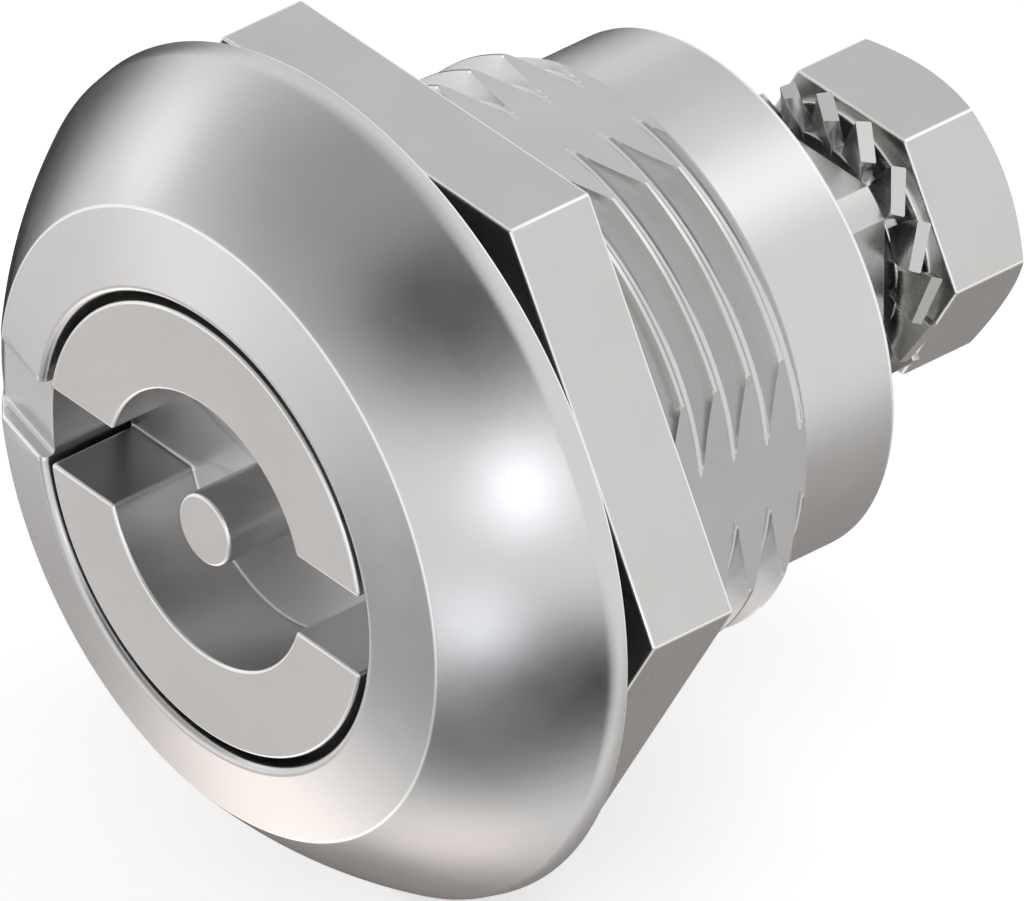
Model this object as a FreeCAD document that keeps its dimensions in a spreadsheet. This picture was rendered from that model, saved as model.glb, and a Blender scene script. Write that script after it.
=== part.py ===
import FreeCAD, Part
import os
import Sketcher
from FreeCAD import Placement, Rotation, Vector

# A turn and pull compression latch, in millimetres. The axis of the latch is Y: the key comes in from
# -Y, the panel lies against the head at y = 0, and the cam is carried at +Y. Z is up, as on a door.
# The latch is drawn closed and pulled in.

doc = FreeCAD.newDocument("compression_latch")
sheet = doc.addObject("Spreadsheet::Sheet", "Sizes")

DRIVING_SIZES = [
    ("screw_dia", 6, "M6 thread of the screw"),
    ("screw_gap", 0.02, "gap between screw and tapped hole, on the radius"),
    ("screw_length", 10, "length of the screw under its head"),
    ("screw_chamfer", 0.5, "chamfer at the tip of the screw"),
    ("head_flats", 10, "across the flats of the screw head"),
    ("head_thickness", 4, "thickness of the screw head"),
    ("collar_step", 0.3, "how far the washer face lies inside the head's flats"),
    ("collar_height", 0.34, "thickness of the washer face"),
    ("bevel_height", 0.88, "height of the bevel at the head's corners"),
    ("bevel_angle", 30, "angle of that bevel, in degrees"),
    ("washer_gap", 0.2, "gap between screw and lock washer, on the radius"),
    ("washer_rim", 0.9, "width of the flat ring of the lock washer"),
    ("washer_thickness", 0.57, "sheet of the lock washer"),
    ("tooth_count", 16, "teeth of the lock washer"),
    ("tooth_length", 1.4, "length of a tooth outside the flat ring"),
    ("tooth_root", 0.2, "how far a tooth reaches into the ring"),
    ("tooth_foot", 1.15, "width of a tooth at its foot"),
    ("tooth_tip", 1.8, "width of a tooth at its tip"),
    ("foot_twist", 5, "twist of a tooth at its foot, in degrees"),
    ("tip_twist", 31, "twist of a tooth at its tip, in degrees"),
    ("shaft_wall", 2.05, "from the screw's thread to the outside of the shaft"),
    ("shaft_reach", 4.48, "how far the shaft stands out of the tail when pulled in"),
    ("shaft_chamfer", 0.3, "chamfer at its front end"),
    ("shaft_gap", 0.3, "gap in front of the shaft when pulled in"),
    ("square_step", 1.05, "depth of the square's flats below the round shaft"),
    ("square_length", 3.1, "length of the square that carries the cam"),
    ("tap_depth", 12, "depth of the tapped hole"),
    ("drill_tip", 118, "angle of the drilled cone at its end, in degrees"),
    ("pin_dia", 3, "cross pin"),
    ("pin_reach", 1, "how far each end of the pin stands out of the sleeve"),
    ("pin_chamfer", 0.3, "chamfer on the ends of the pin"),
    ("pin_gap", 0.01, "gap round the pin in the shaft, on the radius"),
    ("pin_cover", 0.5, "metal left between the pin and the front end of the shaft"),
    ("slot_gap", 0.05, "gap on each side of the pin in its slots"),
    ("travel", 4, "how far the shaft moves out"),
    ("swing", 90, "turn of the cam, in degrees"),
    ("run_gap", 0.05, "radial gap of every running fit"),
    ("end_play", 0.05, "axial gap on each side of a piece that turns"),
    ("bush_wall", 1.05, "wall of the guide bush"),
    ("bush_flange", 1.8, "thickness of the bush's hub and lobes"),
    ("bush_gap", 0.4, "gap in front of the bush"),
    ("lobe_height", 1.4, "how far the stop lobes stand out of the hub"),
    ("lobe_angle", 48, "width of a lobe, in degrees"),
    ("lobe_gap", 0.1, "gap round hub and lobes, on the radius"),
    ("stop_play", 1, "gap beside a lobe at its stop, in degrees"),
    ("sleeve_wall", 1.4, "wall of the slotted sleeve"),
    ("sleeve_floor", 1.3, "front wall of the sleeve"),
    ("sleeve_end", 0.55, "sleeve left behind its ring groove"),
    ("snap_thickness", 0.9, "snap ring on the sleeve"),
    ("snap_groove", 0.4, "depth of its groove"),
    ("snap_gap", 0.08, "gap round the snap ring in its bore"),
    ("snap_opening", 24, "opening of the snap ring, in degrees"),
    ("ring_play", 0.02, "gap beside a ring in its groove"),
    ("shoulder_width", 1.2, "shoulder of the housing behind the insert"),
    ("thrust_thickness", 0.6, "thrust washer"),
    ("thrust_margin", 0.1, "room beside the thrust washer, on the radius"),
    ("insert_gap", 0.08, "running gap round the back of the insert"),
    ("insert_length", 7.62, "from the insert's face to its back"),
    ("insert_setback", 0.15, "how far the insert's face lies inside the mouth"),
    ("socket_dia", 10.52, "round part of the double-bit socket"),
    ("socket_depth", 3.65, "depth of the socket"),
    ("bit_width", 3.2, "width of the two slots for the key's bits"),
    ("key_pin_dia", 2.76, "pin in the middle of the socket"),
    ("floor_wall", 1.2, "wall between socket and spring pocket"),
    ("spring_pocket_dia", 7.4, "pocket for the spring"),
    ("spring_gap", 0.2, "gap round the spring in its pocket"),
    ("spring_width", 0.8, "width of the spring's flat wire"),
    ("spring_thickness", 0.6, "thickness of that wire"),
    ("spring_turns", 3.5, "turns of the return spring"),
    ("tenon_wall", 1.3, "wall of the insert's tenon in the sleeve"),
    ("tenon_flat", 0.6, "depth of the two flats of the tenon"),
    ("tenon_gap", 0.02, "gap round the tenon"),
    ("seal_wall", 0.6, "insert left behind the groove of its seal"),
    ("seal_width", 1.8, "width of that groove"),
    ("seal_depth", 1.22, "depth of that groove"),
    ("seal_gap", 0.03, "gap inside and outside the seal"),
    ("seal_play", 0.25, "room beside the seal in its groove"),
    ("mouth_step", 0.25, "how much wider the mouth is than the seal's bore, on the radius"),
    ("mouth_depth", 4.27, "depth of the mouth"),
    ("head_height", 5.97, "from the panel to the edge of the mouth"),
    ("ring_width", 2.87, "raised ring round the mouth"),
    ("ring_fall", 0.7, "how far the ring falls from the mouth to its outer crease"),
    ("dome_width", 4.13, "from the ring's outer crease to the rim, on the radius"),
    ("dome_radius", 19, "radius of the dome's arc"),
    ("rim_draft", 0.15, "how far the rim band draws in towards the front, on the radius"),
    ("rim_width", 0.66, "width of the rim band"),
    ("notch_width", 3.2, "position notch in the ring"),
    ("notch_depth", 0.65, "depth of the notch below the ring"),
    ("edge_round", 0.1, "small rounds on the edges that show"),
    ("lip_width", 0.43, "narrow lip of the head that meets the panel"),
    ("gasket_pocket", 0.8, "depth of the pocket behind the head"),
    ("gasket_proud", 0.15, "how far the loose gasket stands out of its pocket"),
    ("gasket_gap", 0.05, "gap beside the gasket"),
    ("body_wall", 2.2, "from the seal's bore to the outside of the M22 x 1.5 thread"),
    ("body_length", 13.17, "threaded body, from the panel side of the head"),
    ("body_chamfer", 0.95, "chamfer at the end of the thread"),
    ("flat_depth", 1, "depth of the four flats of the body"),
    ("thread_pitch", 1.5, "pitch of the body's thread"),
    ("thread_depth", 0.92, "depth of its groove"),
    ("thread_root", 0.28, "width of the groove at its root"),
    ("thread_land", 0.16, "land left between the grooves"),
    ("thread_start", 0.89, "where the groove starts, on the side of +X"),
    ("track_gap", 0.15, "gap round the pin in the housing"),
    ("track_margin", 12.5, "free angle at each end of the pin's window"),
    ("web_wall", 0.8, "web left behind the pin's window"),
    ("clip_step", 0.55, "how much wider the snap ring's bore is than the sleeve's, on the radius"),
    ("clip_room", 2.1, "length of that bore"),
    ("bush_step", 0.5, "how much wider the bush's bore is than the one before, on the radius"),
    ("circlip_thickness", 0.9, "circlip behind the bush"),
    ("circlip_height", 1.5, "radial height of the circlip"),
    ("circlip_groove", 0.45, "depth of its groove"),
    ("circlip_opening", 40, "opening of the circlip, in degrees"),
    ("eye_dia", 2.3, "eyes of the circlip"),
    ("eye_hole", 1.1, "holes in the eyes"),
    ("tail_wall", 0.7, "wall of the tail outside the circlip's groove"),
    ("tail_end_wall", 0.65, "tail left behind the circlip"),
    ("tail_chamfer", 0.2, "chamfer at the end of the tail"),
    ("panel_gap", 1.5, "room for the panel between head and nut"),
    ("nut_wall", 2.5, "from the thread to the flats of the nut, which is 27 across them"),
    ("nut_height", 3.65, "thickness of the nut"),
    ("nut_round", 0.12, "rounds on the edges of the nut"),
    ("thread_gap", 0.02, "gap between the thread's crests and the nut's bore"),
]

for row, (alias, size, meaning) in enumerate(DRIVING_SIZES, 1):
    sheet.set(f"A{row}", str(size))
    sheet.setAlias(f"A{row}", alias)
    sheet.set(f"B{row}", meaning)
doc.recompute()

# Radii from the screw outwards, each from the piece that it goes round and a wall or a gap
SCREW = "(Sizes.screw_dia / 2)"
TAPPED_HOLE = f"({SCREW} + Sizes.screw_gap)"
SHAFT = f"({SCREW} + Sizes.shaft_wall)"
SQUARE_SIDE = f"({SHAFT} - Sizes.square_step)"
BUSH_INSIDE = f"({SHAFT} + Sizes.run_gap)"
BUSH_TUBE = f"({BUSH_INSIDE} + Sizes.bush_wall)"
SLEEVE_INSIDE = f"({BUSH_TUBE} + Sizes.run_gap)"
SLEEVE = f"({SLEEVE_INSIDE} + Sizes.sleeve_wall)"
SLEEVE_BORE = f"({SLEEVE} + Sizes.run_gap)"
PIN_HALF = f"({SLEEVE} + Sizes.pin_reach)"
TRACK = f"({PIN_HALF} + Sizes.track_gap)"
SEAL_BORE = f"({SLEEVE} + Sizes.shoulder_width)"
INSERT = f"({SEAL_BORE} - Sizes.insert_gap)"
SEAL_FLOOR = f"({INSERT} - Sizes.seal_depth)"
MOUTH = f"({SEAL_BORE} + Sizes.mouth_step)"
RING = f"({MOUTH} + Sizes.ring_width)"
RIM = f"({RING} + Sizes.dome_width)"
LIP = f"({RIM} - Sizes.lip_width)"
THREAD = f"({SEAL_BORE} + Sizes.body_wall)"
SNAP_FLOOR = f"({SLEEVE} - Sizes.snap_groove)"
CLIP_BORE = f"({SLEEVE_BORE} + Sizes.clip_step)"
BUSH_BORE = f"({CLIP_BORE} + Sizes.bush_step)"
LOBE = f"({BUSH_BORE} - Sizes.lobe_gap)"
HUB = f"({LOBE} - Sizes.lobe_height)"
CIRCLIP_FLOOR = f"({BUSH_BORE} + Sizes.circlip_groove)"
TAIL = f"({CIRCLIP_FLOOR} + Sizes.tail_wall)"
SPRING_POCKET = "(Sizes.spring_pocket_dia / 2)"
TENON = f"({SPRING_POCKET} + Sizes.tenon_wall)"
TENON_SIDE = f"({TENON} - Sizes.tenon_flat)"
WASHER_BORE = f"({SCREW} + Sizes.washer_gap)"
WASHER_RING = f"({WASHER_BORE} + Sizes.washer_rim)"
WASHER_TIP = f"({WASHER_RING} + Sizes.tooth_length)"
COLLAR = "(Sizes.head_flats / 2 - Sizes.collar_step)"

# Stations along the axis, from the face of the key insert to the back of the screw
FRONT = "-Sizes.head_height"
CREASE = f"({FRONT} + Sizes.ring_fall)"
MOUTH_FLOOR = f"({FRONT} + Sizes.mouth_depth)"
INSERT_FACE = f"({FRONT} + Sizes.insert_setback)"
SOCKET_FLOOR = f"({INSERT_FACE} + Sizes.socket_depth)"
SPRING_FLOOR = f"({SOCKET_FLOOR} + Sizes.floor_wall)"
INSERT_BACK = f"({INSERT_FACE} + Sizes.insert_length)"
SEAL_END = f"({INSERT_BACK} - Sizes.seal_wall)"
SEAL_START = f"({SEAL_END} - Sizes.seal_width)"
SHOULDER = f"({INSERT_BACK} + Sizes.thrust_thickness + 2 * Sizes.end_play)"
TENON_END = f"({INSERT_BACK} + Sizes.sleeve_floor)"
BUSH_FRONT = f"({TENON_END} + Sizes.bush_gap)"
SHAFT_SEAT = f"({TENON_END} + Sizes.shaft_gap)"
PIN_REST = f"({SHAFT_SEAT} + Sizes.pin_cover + Sizes.pin_dia / 2)"
PIN_OUT = f"({PIN_REST} + Sizes.travel)"
TRACK_START = f"({PIN_REST} - Sizes.pin_dia / 2 - Sizes.track_gap)"
TRACK_END = f"({PIN_OUT} + Sizes.pin_dia / 2 + Sizes.track_gap)"
WEB_END = f"({TRACK_END} + Sizes.web_wall)"
SNAP_START = f"({WEB_END} + Sizes.end_play)"
SNAP_END = f"({SNAP_START} + Sizes.snap_thickness)"
SLEEVE_END = f"({SNAP_END} + Sizes.ring_play + Sizes.sleeve_end)"
BUSH_SEAT = f"({WEB_END} + Sizes.clip_room)"
FLANGE_START = f"({BUSH_SEAT} + Sizes.end_play)"
FLANGE_END = f"({FLANGE_START} + Sizes.bush_flange)"
CIRCLIP_START = f"({FLANGE_END} + Sizes.end_play)"
CIRCLIP_END = f"({CIRCLIP_START} + Sizes.circlip_thickness)"
TAIL_END = f"({CIRCLIP_END} + Sizes.ring_play + Sizes.tail_end_wall)"
SHAFT_END = f"({TAIL_END} + Sizes.shaft_reach)"
SQUARE_START = f"({SHAFT_END} - Sizes.square_length)"
WASHER_HEIGHT = "(Sizes.tooth_tip * sin(Sizes.tip_twist) + Sizes.washer_thickness * cos(Sizes.tip_twist))"
WASHER_MIDDLE = f"({SHAFT_END} + {WASHER_HEIGHT} / 2)"
COLLAR_START = f"({SHAFT_END} + {WASHER_HEIGHT})"
HEAD_START = f"({COLLAR_START} + Sizes.collar_height)"
HEAD_END = f"({HEAD_START} + Sizes.head_thickness)"

# Widths and angles that two pieces share
SLOT_HALF = "(Sizes.pin_dia / 2 + Sizes.slot_gap)"
RIB_ANGLE = "(180 - Sizes.lobe_angle - Sizes.swing - 2 * Sizes.stop_play)"


def value(expression):
    """The number that an expression over the sheet gives now."""
    found = sheet.evalExpression(str(expression).replace("Sizes.", ""))
    return float(getattr(found, "Value", found))


def body(label):
    made = doc.addObject("PartDesign::Body", label)
    made.Label = label
    return made


def origin_part(owner, role):
    return next(f for f in owner.Origin.OriginFeatures if f.Role == role)


def sketch(owner, name, plane, at=None, turn=None):
    """A sketch on one of the body's own planes.

    On XY_Plane its axes are X and Y, so a profile there is a radius and a station, and turn= swings it
    about Y, in degrees from +X towards +Z. On XZ_Plane its axes are X and Z, and at= puts it at a
    station. On YZ_Plane its axes are Y and Z, and at= is an X.
    """
    made = owner.newObject("Sketcher::SketchObject", name)
    made.AttachmentSupport = [(origin_part(owner, plane), "")]
    made.MapMode = "FlatFace"
    if turn is not None:
        made.AttachmentOffset = Placement(Vector(), Rotation(Vector(0, 1, 0), -value(turn)))
    if at is not None:
        sign = "-" if plane == "XZ_Plane" else ""
        made.setExpression("AttachmentOffset.Base.z", f"{sign}({at})")
    return made


def bind_point(target, geometry, end, corner, tag):
    """Hold one point of a sketch at two expressions."""
    for kind, axis, expression in (("DistanceX", -2, corner[0]), ("DistanceY", -1, corner[1])):
        number = value(expression)
        if abs(number) < 1e-9:
            target.addConstraint(Sketcher.Constraint("PointOnObject", geometry, end, axis))
            continue
        made = target.addConstraint(Sketcher.Constraint(kind, -1, 1, geometry, end, number))
        name = f"{kind[-1].lower()}_{tag}"
        target.renameConstraint(made, name)
        target.setExpression(f"Constraints.{name}", expression)


def outline(target, corners):
    """A closed outline. A corner is two expressions, and a third starts an arc to the next corner:
    the expression of its radius, with the arc bulging to the left of the way there, or a minus for right."""
    points = [Vector(value(c[0]), value(c[1]), 0) for c in corners]
    count = len(corners)
    ends = []
    first = target.GeometryCount
    for i, corner in enumerate(corners):
        start = points[i]
        stop = points[(i + 1) % count]
        if len(corner) == 2:
            target.addGeometry(Part.LineSegment(start, stop))
            ends.append((1, 2))
            continue
        radius = abs(value(corner[2]))
        chord = stop - start
        left = Vector(-chord.y, chord.x, 0).normalize()
        side = -1 if value(corner[2]) < 0 else 1
        sagitta = radius - (radius ** 2 - (chord.Length / 2) ** 2) ** 0.5
        middle = (start + stop) * 0.5 + left * side * sagitta
        target.addGeometry(Part.Arc(start, middle, stop))
        arc = target.Geometry[-1]
        forward = arc.StartPoint.distanceToPoint(start) < arc.StartPoint.distanceToPoint(stop)
        ends.append((1, 2) if forward else (2, 1))
        made = target.addConstraint(Sketcher.Constraint("Radius", first + i, radius))
        target.renameConstraint(made, f"radius_{first + i}")
        target.setExpression(f"Constraints.radius_{first + i}", f"abs({corner[2]})")
    for i in range(count):
        after = (i + 1) % count
        joined = Sketcher.Constraint("Coincident", first + i, ends[i][1], first + after, ends[after][0])
        target.addConstraint(joined)
        bind_point(target, first + i, ends[i][0], corners[i], first + i)


def circle(target, radius, centre=("0", "0")):
    """A full circle with its radius and centre held by expressions."""
    place = Vector(value(centre[0]), value(centre[1]), 0)
    number = target.addGeometry(Part.Circle(place, Vector(0, 0, 1), value(radius)))
    made = target.addConstraint(Sketcher.Constraint("Radius", number, value(radius)))
    target.renameConstraint(made, f"radius_{number}")
    target.setExpression(f"Constraints.radius_{number}", radius)
    bind_point(target, number, 3, centre, number)


def box_corners(left, right, low, high):
    return [(left, low), (right, low), (right, high), (left, high)]


def changed(feature, grows):
    """Recompute, and stop where a feature left its body as it was."""
    doc.recompute()
    before = feature.BaseFeature.Shape.Volume if feature.BaseFeature else 0.0
    after = feature.Shape.Volume
    if (after - before) * (1 if grows else -1) <= 1e-6:
        raise RuntimeError(f"{feature.Label} changes nothing")
    return feature


def turned(owner, name, corners, cut=False, angle=None, turn=None):
    """Turn a half section round the latch's axis, adding it or cutting it away."""
    section = sketch(owner, name + "_section", "XY_Plane", turn=turn)
    outline(section, corners)
    made = owner.newObject("PartDesign::Groove" if cut else "PartDesign::Revolution", name)
    made.Profile = section
    made.ReferenceAxis = (section, ["V_Axis"])
    made.Angle = 360
    if angle is not None:
        made.Midplane = True
        made.setExpression("Angle", angle)
    return changed(made, not cut)


def padded(owner, name, section, length):
    """Add a sketched section, from its station towards +Y."""
    made = owner.newObject("PartDesign::Pad", name)
    made.Profile = section
    made.Reversed = True
    made.setExpression("Length", length)
    return changed(made, True)


def pocketed(owner, name, section, length):
    """Cut a sketched section away, from its station towards +Y."""
    made = owner.newObject("PartDesign::Pocket", name)
    made.Profile = section
    made.setExpression("Length", length)
    return changed(made, False)


def pocketed_both_ways(owner, name, section, length):
    made = owner.newObject("PartDesign::Pocket", name)
    made.Profile = section
    made.Midplane = True
    made.setExpression("Length", length)
    return changed(made, False)


def repeated(owner, name, features, count):
    """Copies of features round the latch's axis."""
    made = owner.newObject("PartDesign::PolarPattern", name)
    made.Originals = features
    made.Axis = (origin_part(owner, "Y_Axis"), [""])
    made.Angle = 360
    made.setExpression("Occurrences", count)
    owner.Tip = made
    doc.recompute()
    return made


def milled_flats(owner, name, station, length, half_width, radius, count):
    """Flats milled on a round stretch, the first one across +X."""
    section = sketch(owner, name + "_section", "XZ_Plane", at=station)
    half_chord = f"(sqrt({radius} ^ 2 - {half_width} ^ 2) + ({radius} - {half_width}) / 2)"
    outline(section, box_corners(half_width, f"2 * {radius} - {half_width}", f"-{half_chord}", half_chord))
    first = pocketed(owner, name + "_first", section, length)
    return repeated(owner, name, [first], count)


def circle_edges(shape, radius, station):
    """Names of the round edges about the axis with this radius, at this station."""
    names = []
    for number, edge in enumerate(shape.Edges, 1):
        curve = edge.Curve
        if not isinstance(curve, Part.Circle):
            continue
        if abs(curve.Radius - radius) < 1e-3 and abs(curve.Center.y - station) < 1e-3:
            if abs(curve.Center.x) < 1e-3 and abs(curve.Center.z) < 1e-3:
                names.append(f"Edge{number}")
    return names


def rounded(owner, name, edges, radius):
    base = owner.Tip
    made = owner.newObject("PartDesign::Fillet", name)
    made.Base = (base, edges)
    made.setExpression("Radius", radius)
    doc.recompute()
    return made


def hexagon(flats):
    """Corners of a hexagon that lies on a flat, as sketch corners."""
    side = f"{flats} / 2 * tan(30)"
    reach = f"{flats} / 2 / cos(30)"
    half = f"{flats} / 2"
    return [
        (reach, "0"),
        (side, half),
        (f"-{side}", half),
        (f"-{reach}", "0"),
        (f"-{side}", f"-{half}"),
        (side, f"-{half}"),
    ]


def plain_ring(label, outside, inside, start, thickness):
    """A flat ring about the axis, cut from two cylinders."""
    parts = []
    for suffix, radius in (("outside", outside), ("inside", inside)):
        made = doc.addObject("Part::Cylinder", f"{label}_{suffix}")
        made.setExpression("Radius", radius)
        made.setExpression("Height", thickness)
        made.Placement = Placement(Vector(), Rotation(Vector(1, 0, 0), -90))
        made.setExpression("Placement.Base.y", start)
        parts.append(made)
    ring = doc.addObject("Part::Cut", label)
    ring.Base, ring.Tool = parts
    ring.Label = label
    doc.recompute()
    return ring


# Housing: head, threaded body and tail, turned from one bar
housing = body("housing")
turned(housing, "housing_turning", [
    (MOUTH, FRONT),
    (RING, CREASE, "-Sizes.dome_radius"),
    (f"{RIM} - Sizes.rim_draft", "-Sizes.rim_width"),
    (RIM, "0"),
    (LIP, "0"),
    (LIP, "-Sizes.gasket_pocket"),
    (THREAD, "-Sizes.gasket_pocket"),
    (THREAD, "Sizes.body_length - Sizes.body_chamfer"),
    (f"{THREAD} - Sizes.body_chamfer", "Sizes.body_length"),
    (TAIL, "Sizes.body_length"),
    (TAIL, f"{TAIL_END} - Sizes.tail_chamfer"),
    (f"{TAIL} - Sizes.tail_chamfer", TAIL_END),
    (BUSH_BORE, TAIL_END),
    (BUSH_BORE, BUSH_SEAT),
    (CLIP_BORE, BUSH_SEAT),
    (CLIP_BORE, WEB_END),
    (SLEEVE_BORE, WEB_END),
    (SLEEVE_BORE, SHOULDER),
    (SEAL_BORE, SHOULDER),
    (SEAL_BORE, MOUTH_FLOOR),
    (MOUTH, MOUTH_FLOOR),
])

# Four flats keep the body from turning in the panel's cut-out
milled_flats(housing, "body_flats", "-Sizes.gasket_pocket", "Sizes.body_length + Sizes.gasket_pocket",
             f"({THREAD} - Sizes.flat_depth)", THREAD, "4")

# The position notch follows the slope of the ring and runs out on the dome
RING_SLOPE = "(Sizes.ring_fall / Sizes.ring_width)"
NOTCH_SPARE = "(Sizes.notch_width / 2)"
notch = sketch(housing, "notch_section", "XY_Plane")
outline(notch, [
    (f"-{MOUTH} + {NOTCH_SPARE}", f"{FRONT} + Sizes.notch_depth - {RING_SLOPE} * {NOTCH_SPARE}"),
    (f"-{RING} - {NOTCH_SPARE}", f"{CREASE} + Sizes.notch_depth + {RING_SLOPE} * {NOTCH_SPARE}"),
    (f"-{RING} - {NOTCH_SPARE}", f"{FRONT} - Sizes.notch_depth"),
    (f"-{MOUTH} + {NOTCH_SPARE}", f"{FRONT} - Sizes.notch_depth"),
])
pocketed_both_ways(housing, "notch", notch, "Sizes.notch_width")

# Windows in the web let the ends of the cross pin move out and swing, and keyways let them in
window = turned(
    housing, "pin_window",
    box_corners(f"{SLEEVE_BORE} - Sizes.track_gap", TRACK, TRACK_START, TRACK_END),
    cut=True, angle="Sizes.swing + 2 * Sizes.track_margin", turn="Sizes.swing / 2")
repeated(housing, "pin_windows", [window], "2")
keyway = sketch(housing, "keyway_section", "XZ_Plane", at=SHOULDER)
KEYWAY_HALF = f"({SLOT_HALF} + Sizes.track_gap)"
outline(keyway, box_corners(f"-{TRACK}", TRACK, f"-{KEYWAY_HALF}", KEYWAY_HALF))
pocketed(housing, "keyways", keyway, f"{TRACK_START} - {SHOULDER} + Sizes.track_gap")

# Two ribs in the tail stop the lobes of the bush after a quarter turn
rib = turned(
    housing, "stop_rib",
    box_corners(f"{HUB} + Sizes.lobe_gap", f"{BUSH_BORE} + Sizes.lobe_gap", BUSH_SEAT, FLANGE_END),
    angle=RIB_ANGLE, turn="-Sizes.swing / 2")
repeated(housing, "stop_ribs", [rib], "2")
turned(
    housing, "circlip_groove",
    box_corners(f"{BUSH_BORE} - Sizes.lobe_gap", CIRCLIP_FLOOR, CIRCLIP_START,
                f"{CIRCLIP_END} + Sizes.ring_play"),
    cut=True)
mouth_edges = circle_edges(housing.Tip.Shape, value(MOUTH), value(FRONT))
rounded(housing, "mouth_round", mouth_edges, "Sizes.edge_round")

# The thread's groove winds round the body to the right, and the flats cut it into four
groove = sketch(housing, "groove_section", "XY_Plane")
GROOVE_HALF = "((Sizes.thread_pitch - Sizes.thread_land) / 2)"
GROOVE_OUTSIDE = f"({THREAD} + Sizes.thread_land / 4)"
outline(groove, [
    (f"{THREAD} - Sizes.thread_depth", "Sizes.thread_start - Sizes.thread_root / 2"),
    (GROOVE_OUTSIDE, f"Sizes.thread_start - {GROOVE_HALF}"),
    (GROOVE_OUTSIDE, f"Sizes.thread_start + {GROOVE_HALF}"),
    (f"{THREAD} - Sizes.thread_depth", "Sizes.thread_start + Sizes.thread_root / 2"),
])
thread = housing.newObject("PartDesign::SubtractiveHelix", "thread")
thread.Profile = groove
thread.ReferenceAxis = (groove, ["V_Axis"])
thread.Mode = "pitch-height-angle"
thread.LeftHanded = False
thread.setExpression("Pitch", "Sizes.thread_pitch")
thread.setExpression("Height", "Sizes.body_length - Sizes.thread_start + Sizes.thread_pitch / 2")
changed(thread, False)

# Nut: a thin hexagon that clamps the panel
hex_nut = body("hex_nut")
nut_section = sketch(hex_nut, "nut_section", "XZ_Plane", at="Sizes.panel_gap")
outline(nut_section, hexagon(f"(2 * ({THREAD} + Sizes.nut_wall))"))
circle(nut_section, f"{THREAD} + Sizes.thread_gap")
padded(hex_nut, "nut_blank", nut_section, "Sizes.nut_height")
nut_edges = [
    f"Edge{number}" for number, edge in enumerate(hex_nut.Tip.Shape.Edges, 1)
    if isinstance(edge.Curve, (Part.Line, Part.LineSegment))
]
rounded(hex_nut, "nut_rounds", nut_edges, "Sizes.nut_round")

# Gasket: a flat rubber ring in the pocket behind the head
plain_ring("flange_gasket", f"{LIP} - Sizes.gasket_gap", f"{THREAD} + Sizes.gasket_gap",
           "-Sizes.gasket_pocket", "Sizes.gasket_pocket + Sizes.gasket_proud")

# Key insert: the double-bit socket with its pin, a groove for the seal, and a tenon for the sleeve
key_insert = body("key_insert")
turned(key_insert, "insert_turning", [
    ("0", INSERT_FACE),
    (INSERT, INSERT_FACE),
    (INSERT, SEAL_START),
    (SEAL_FLOOR, SEAL_START),
    (SEAL_FLOOR, SEAL_END),
    (INSERT, SEAL_END),
    (INSERT, INSERT_BACK),
    (TENON, INSERT_BACK),
    (TENON, TENON_END),
    (SPRING_POCKET, TENON_END),
    (SPRING_POCKET, SPRING_FLOOR),
    ("0", SPRING_FLOOR),
])
BIT_HALF = "Sizes.bit_width / 2"
BIT_ROOT = "sqrt(Sizes.socket_dia ^ 2 - Sizes.bit_width ^ 2) / 2"
BIT_REACH = f"({INSERT} + Sizes.insert_gap)"
socket = sketch(key_insert, "socket_section", "XZ_Plane", at=INSERT_FACE)
outline(socket, [
    (BIT_REACH, f"-{BIT_HALF}"),
    (BIT_REACH, BIT_HALF),
    (BIT_ROOT, BIT_HALF, "-Sizes.socket_dia / 2"),
    (f"-{BIT_ROOT}", BIT_HALF),
    (f"-{BIT_REACH}", BIT_HALF),
    (f"-{BIT_REACH}", f"-{BIT_HALF}"),
    (f"-{BIT_ROOT}", f"-{BIT_HALF}", "-Sizes.socket_dia / 2"),
    (BIT_ROOT, f"-{BIT_HALF}"),
])
circle(socket, "Sizes.key_pin_dia / 2")
pocketed(key_insert, "socket", socket, "Sizes.socket_depth")
milled_flats(key_insert, "tenon_flats", INSERT_BACK, "Sizes.sleeve_floor", TENON_SIDE, TENON, "2")
pin_edges = circle_edges(key_insert.Tip.Shape, value("Sizes.key_pin_dia / 2"), value(INSERT_FACE))
rim_edges = circle_edges(key_insert.Tip.Shape, value(INSERT), value(INSERT_FACE))
rounded(key_insert, "insert_rounds", pin_edges + rim_edges, "Sizes.edge_round")

# Seal: a ring of square section in the groove of the insert
plain_ring("insert_seal", f"{SEAL_BORE} - Sizes.seal_gap", f"{SEAL_FLOOR} + Sizes.seal_gap",
           f"{SEAL_START} + Sizes.seal_play", "Sizes.seal_width - 2 * Sizes.seal_play")

# Thrust washer between the insert and the shoulder of the housing
plain_ring("thrust_washer", f"{SEAL_BORE} - Sizes.thrust_margin", f"{SLEEVE} + Sizes.thrust_margin",
           f"{INSERT_BACK} + Sizes.end_play", "Sizes.thrust_thickness")

# Cam sleeve: turns with the insert, and its helical slots draw the cross pin along
cam_sleeve = body("cam_sleeve")
turned(cam_sleeve, "sleeve_turning", [
    (TENON_SIDE, INSERT_BACK),
    (SLEEVE, INSERT_BACK),
    (SLEEVE, f"{SNAP_START} - Sizes.ring_play"),
    (SNAP_FLOOR, f"{SNAP_START} - Sizes.ring_play"),
    (SNAP_FLOOR, f"{SNAP_END} + Sizes.ring_play"),
    (SLEEVE, f"{SNAP_END} + Sizes.ring_play"),
    (SLEEVE, SLEEVE_END),
    (SLEEVE_INSIDE, SLEEVE_END),
    (SLEEVE_INSIDE, TENON_END),
    (TENON_SIDE, TENON_END),
])
tenon_hole = sketch(cam_sleeve, "tenon_hole_section", "XZ_Plane", at=INSERT_BACK)
HOLE_SIDE = f"({TENON_SIDE} + Sizes.tenon_gap)"
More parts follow.
